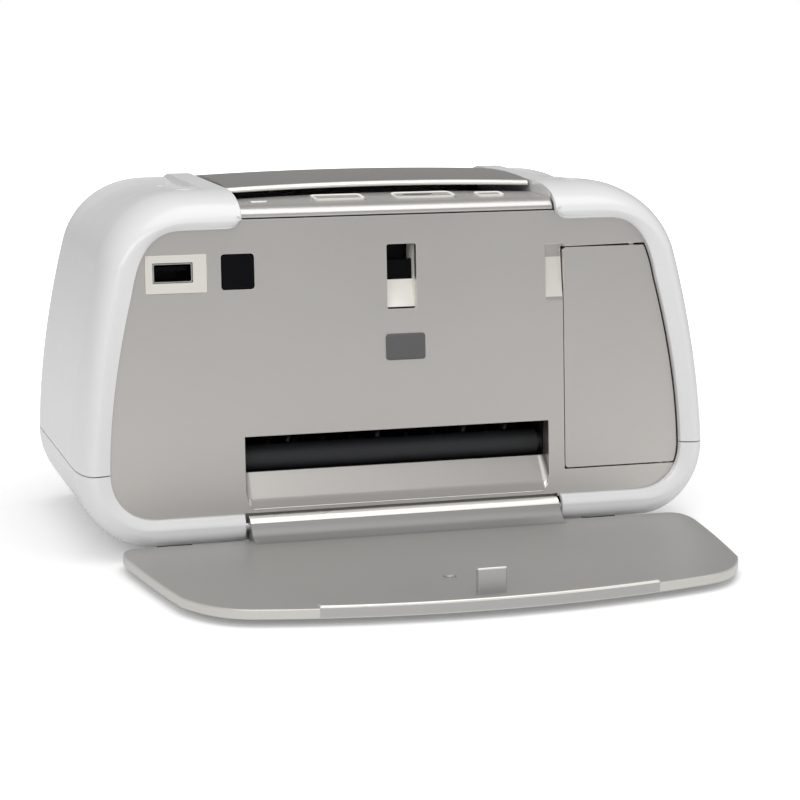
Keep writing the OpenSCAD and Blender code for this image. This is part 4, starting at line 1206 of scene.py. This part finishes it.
# Faces of the tray's rim, painted lighter: painted highlight.
def on_rim(spot, normal):
    outer = (spot.y < -88 or abs(spot.x) > 60) and spot.y < 2
    return outer and spot.z < TRAY_TOP + 0.9 and -0.9 < normal.z < 0.97


# Top of the lip's front edge, painted bright: painted highlight.
def on_lip_edge(spot, normal):
    turned_forward = 0.1 < normal.z < 0.98 and normal.y < -0.1
    return turned_forward and abs(spot.x) < LIP_HALF and spot.y < -86 and spot.z > TRAY_TOP + 0.1


def on_lip_front(spot, normal):
    return abs(spot.x) < LIP_HALF and spot.y < -88 and abs(normal.z) < 0.1 and spot.z < TRAY_TOP + 0.2


open_tray()

# ---- finishes of the construction pieces that stay ----

KEPT = {
    "steel": STEEL, "zinc_sheet": SHEET, "dark_plastic": DARK, "grey_plastic": GREY, "black_gloss": BLACK,
    "ivory_plastic": GEAR, "board": BOARD, "black_rubber": RUBBER, "felt": FELT, "silver_paint": PANEL,
    "white_casing": WHITE, "bright_trim": TRIM_AND_HIGHLIGHT, "clear_lens": LENS,
}
# The star wheels are given the dark texture instead of their own finish, as painted shade inside the paper
# exit; the pinch rollers are given it too.
SLOT_SHADE_PARTS = {"star_wheels": DARK, "pinch_rollers": DARK}
slots = {row["node"]: row["material_slot"] for row in frame["record"]["subparts"]}
for node, thing in frame["nodes"].items():
    thing.data.materials.clear()
    thing.data.materials.append(SLOT_SHADE_PARTS.get(node, KEPT[slots[node]]))

# ---- floor, light and camera ----

def floor():
    """White table: it keeps its shadow near the printer and turns pure white further out."""
    deselect()
    bpy.ops.mesh.primitive_plane_add(size=12)
    ground = bpy.context.object
    ground.name = "studio_floor"
    material = bpy.data.materials.new("studio_white")
    material.use_nodes = True
    tree = material.node_tree
    shader = tree.nodes["Principled BSDF"]
    preset(shader, {"Base Color": (0.9, 0.9, 0.9, 1), "Roughness": 0.7, "Specular IOR Level": 0.2,
                    "Emission Color": (1, 1, 1, 1)})
    seen = tree.nodes.new("ShaderNodeLightPath")
    place = tree.nodes.new("ShaderNodeTexCoord")
    reach = tree.nodes.new("ShaderNodeVectorMath")
    reach.operation = "LENGTH"
    fade = tree.nodes.new("ShaderNodeMapRange")
    fade.interpolation_type = "SMOOTHSTEP"
    preset(fade, {"From Min": 0.15, "From Max": 0.7, "To Min": 0.2, "To Max": 1.0})
    glow = tree.nodes.new("ShaderNodeMath")
    glow.operation = "MULTIPLY"
    link(tree, place.outputs["Object"], reach.inputs[0])
    link(tree, reach.outputs["Value"], fade.inputs["Value"])
    link(tree, seen.outputs["Is Camera Ray"], glow.inputs[0])
    link(tree, fade.outputs["Result"], glow.inputs[1])
    link(tree, glow.outputs["Value"], shader.inputs["Emission Strength"])
    ground.data.materials.append(material)


def world():
    """White to the camera, softer as light and greyer in reflections."""
    sky = bpy.data.worlds.new("studio")
    bpy.context.scene.world = sky
    sky.use_nodes = True
    tree = sky.node_tree
    light = tree.nodes["Background"]
    preset(light, {"Color": (1, 1, 1, 1)})
    seen = tree.nodes.new("ShaderNodeLightPath")
    direct = tree.nodes.new("ShaderNodeMapRange")
    preset(direct, {"To Min": 0.5, "To Max": 1.0})
    shine = tree.nodes.new("ShaderNodeMath")
    shine.operation = "MULTIPLY"
    shine.inputs[1].default_value = 0.2
    total = tree.nodes.new("ShaderNodeMath")
    total.operation = "SUBTRACT"
    link(tree, seen.outputs["Is Camera Ray"], direct.inputs["Value"])
    link(tree, seen.outputs["Is Glossy Ray"], shine.inputs[0])
    link(tree, direct.outputs["Result"], total.inputs[0])
    link(tree, shine.outputs["Value"], total.inputs[1])
    link(tree, total.outputs["Value"], light.inputs["Strength"])


def lamp(name, place, aim, size, power):
    light = bpy.data.lights.new(name, "AREA")
    light.shape = "RECTANGLE"
    light.size, light.size_y = size
    light.energy = power
    lit = bpy.data.objects.new(name, light)
    bpy.context.scene.collection.objects.link(lit)
    lit.location = place
    lit.rotation_euler = (Vector(aim) - Vector(place)).to_track_quat("-Z", "Y").to_euler()


def camera():
    lens = bpy.data.cameras.new("photo_camera")
    lens.lens = 108.2
    lens.sensor_width = 36
    shot = bpy.data.objects.new("photo_camera", lens)
    bpy.context.scene.collection.objects.link(shot)
    shot.location = (-0.22543, -0.76391, 0.19358)
    shot.rotation_euler = (math.radians(90 - 10.348), 0, math.radians(-16.41))
    bpy.context.scene.camera = shot


floor()
world()
lamp("overhead", (0.1, -0.1, 1.3), (0, 0, 0.05), (1.4, 1.2), 9)
lamp("left_front", (-0.6, -1.2, 0.75), (0, 0, 0.06), (0.9, 0.7), 6)
lamp("right_front", (1.0, -0.8, 0.5), (0, 0, 0.06), (0.7, 0.9), 1.5)
camera()
bpy.context.scene.view_settings.view_transform = "Standard"
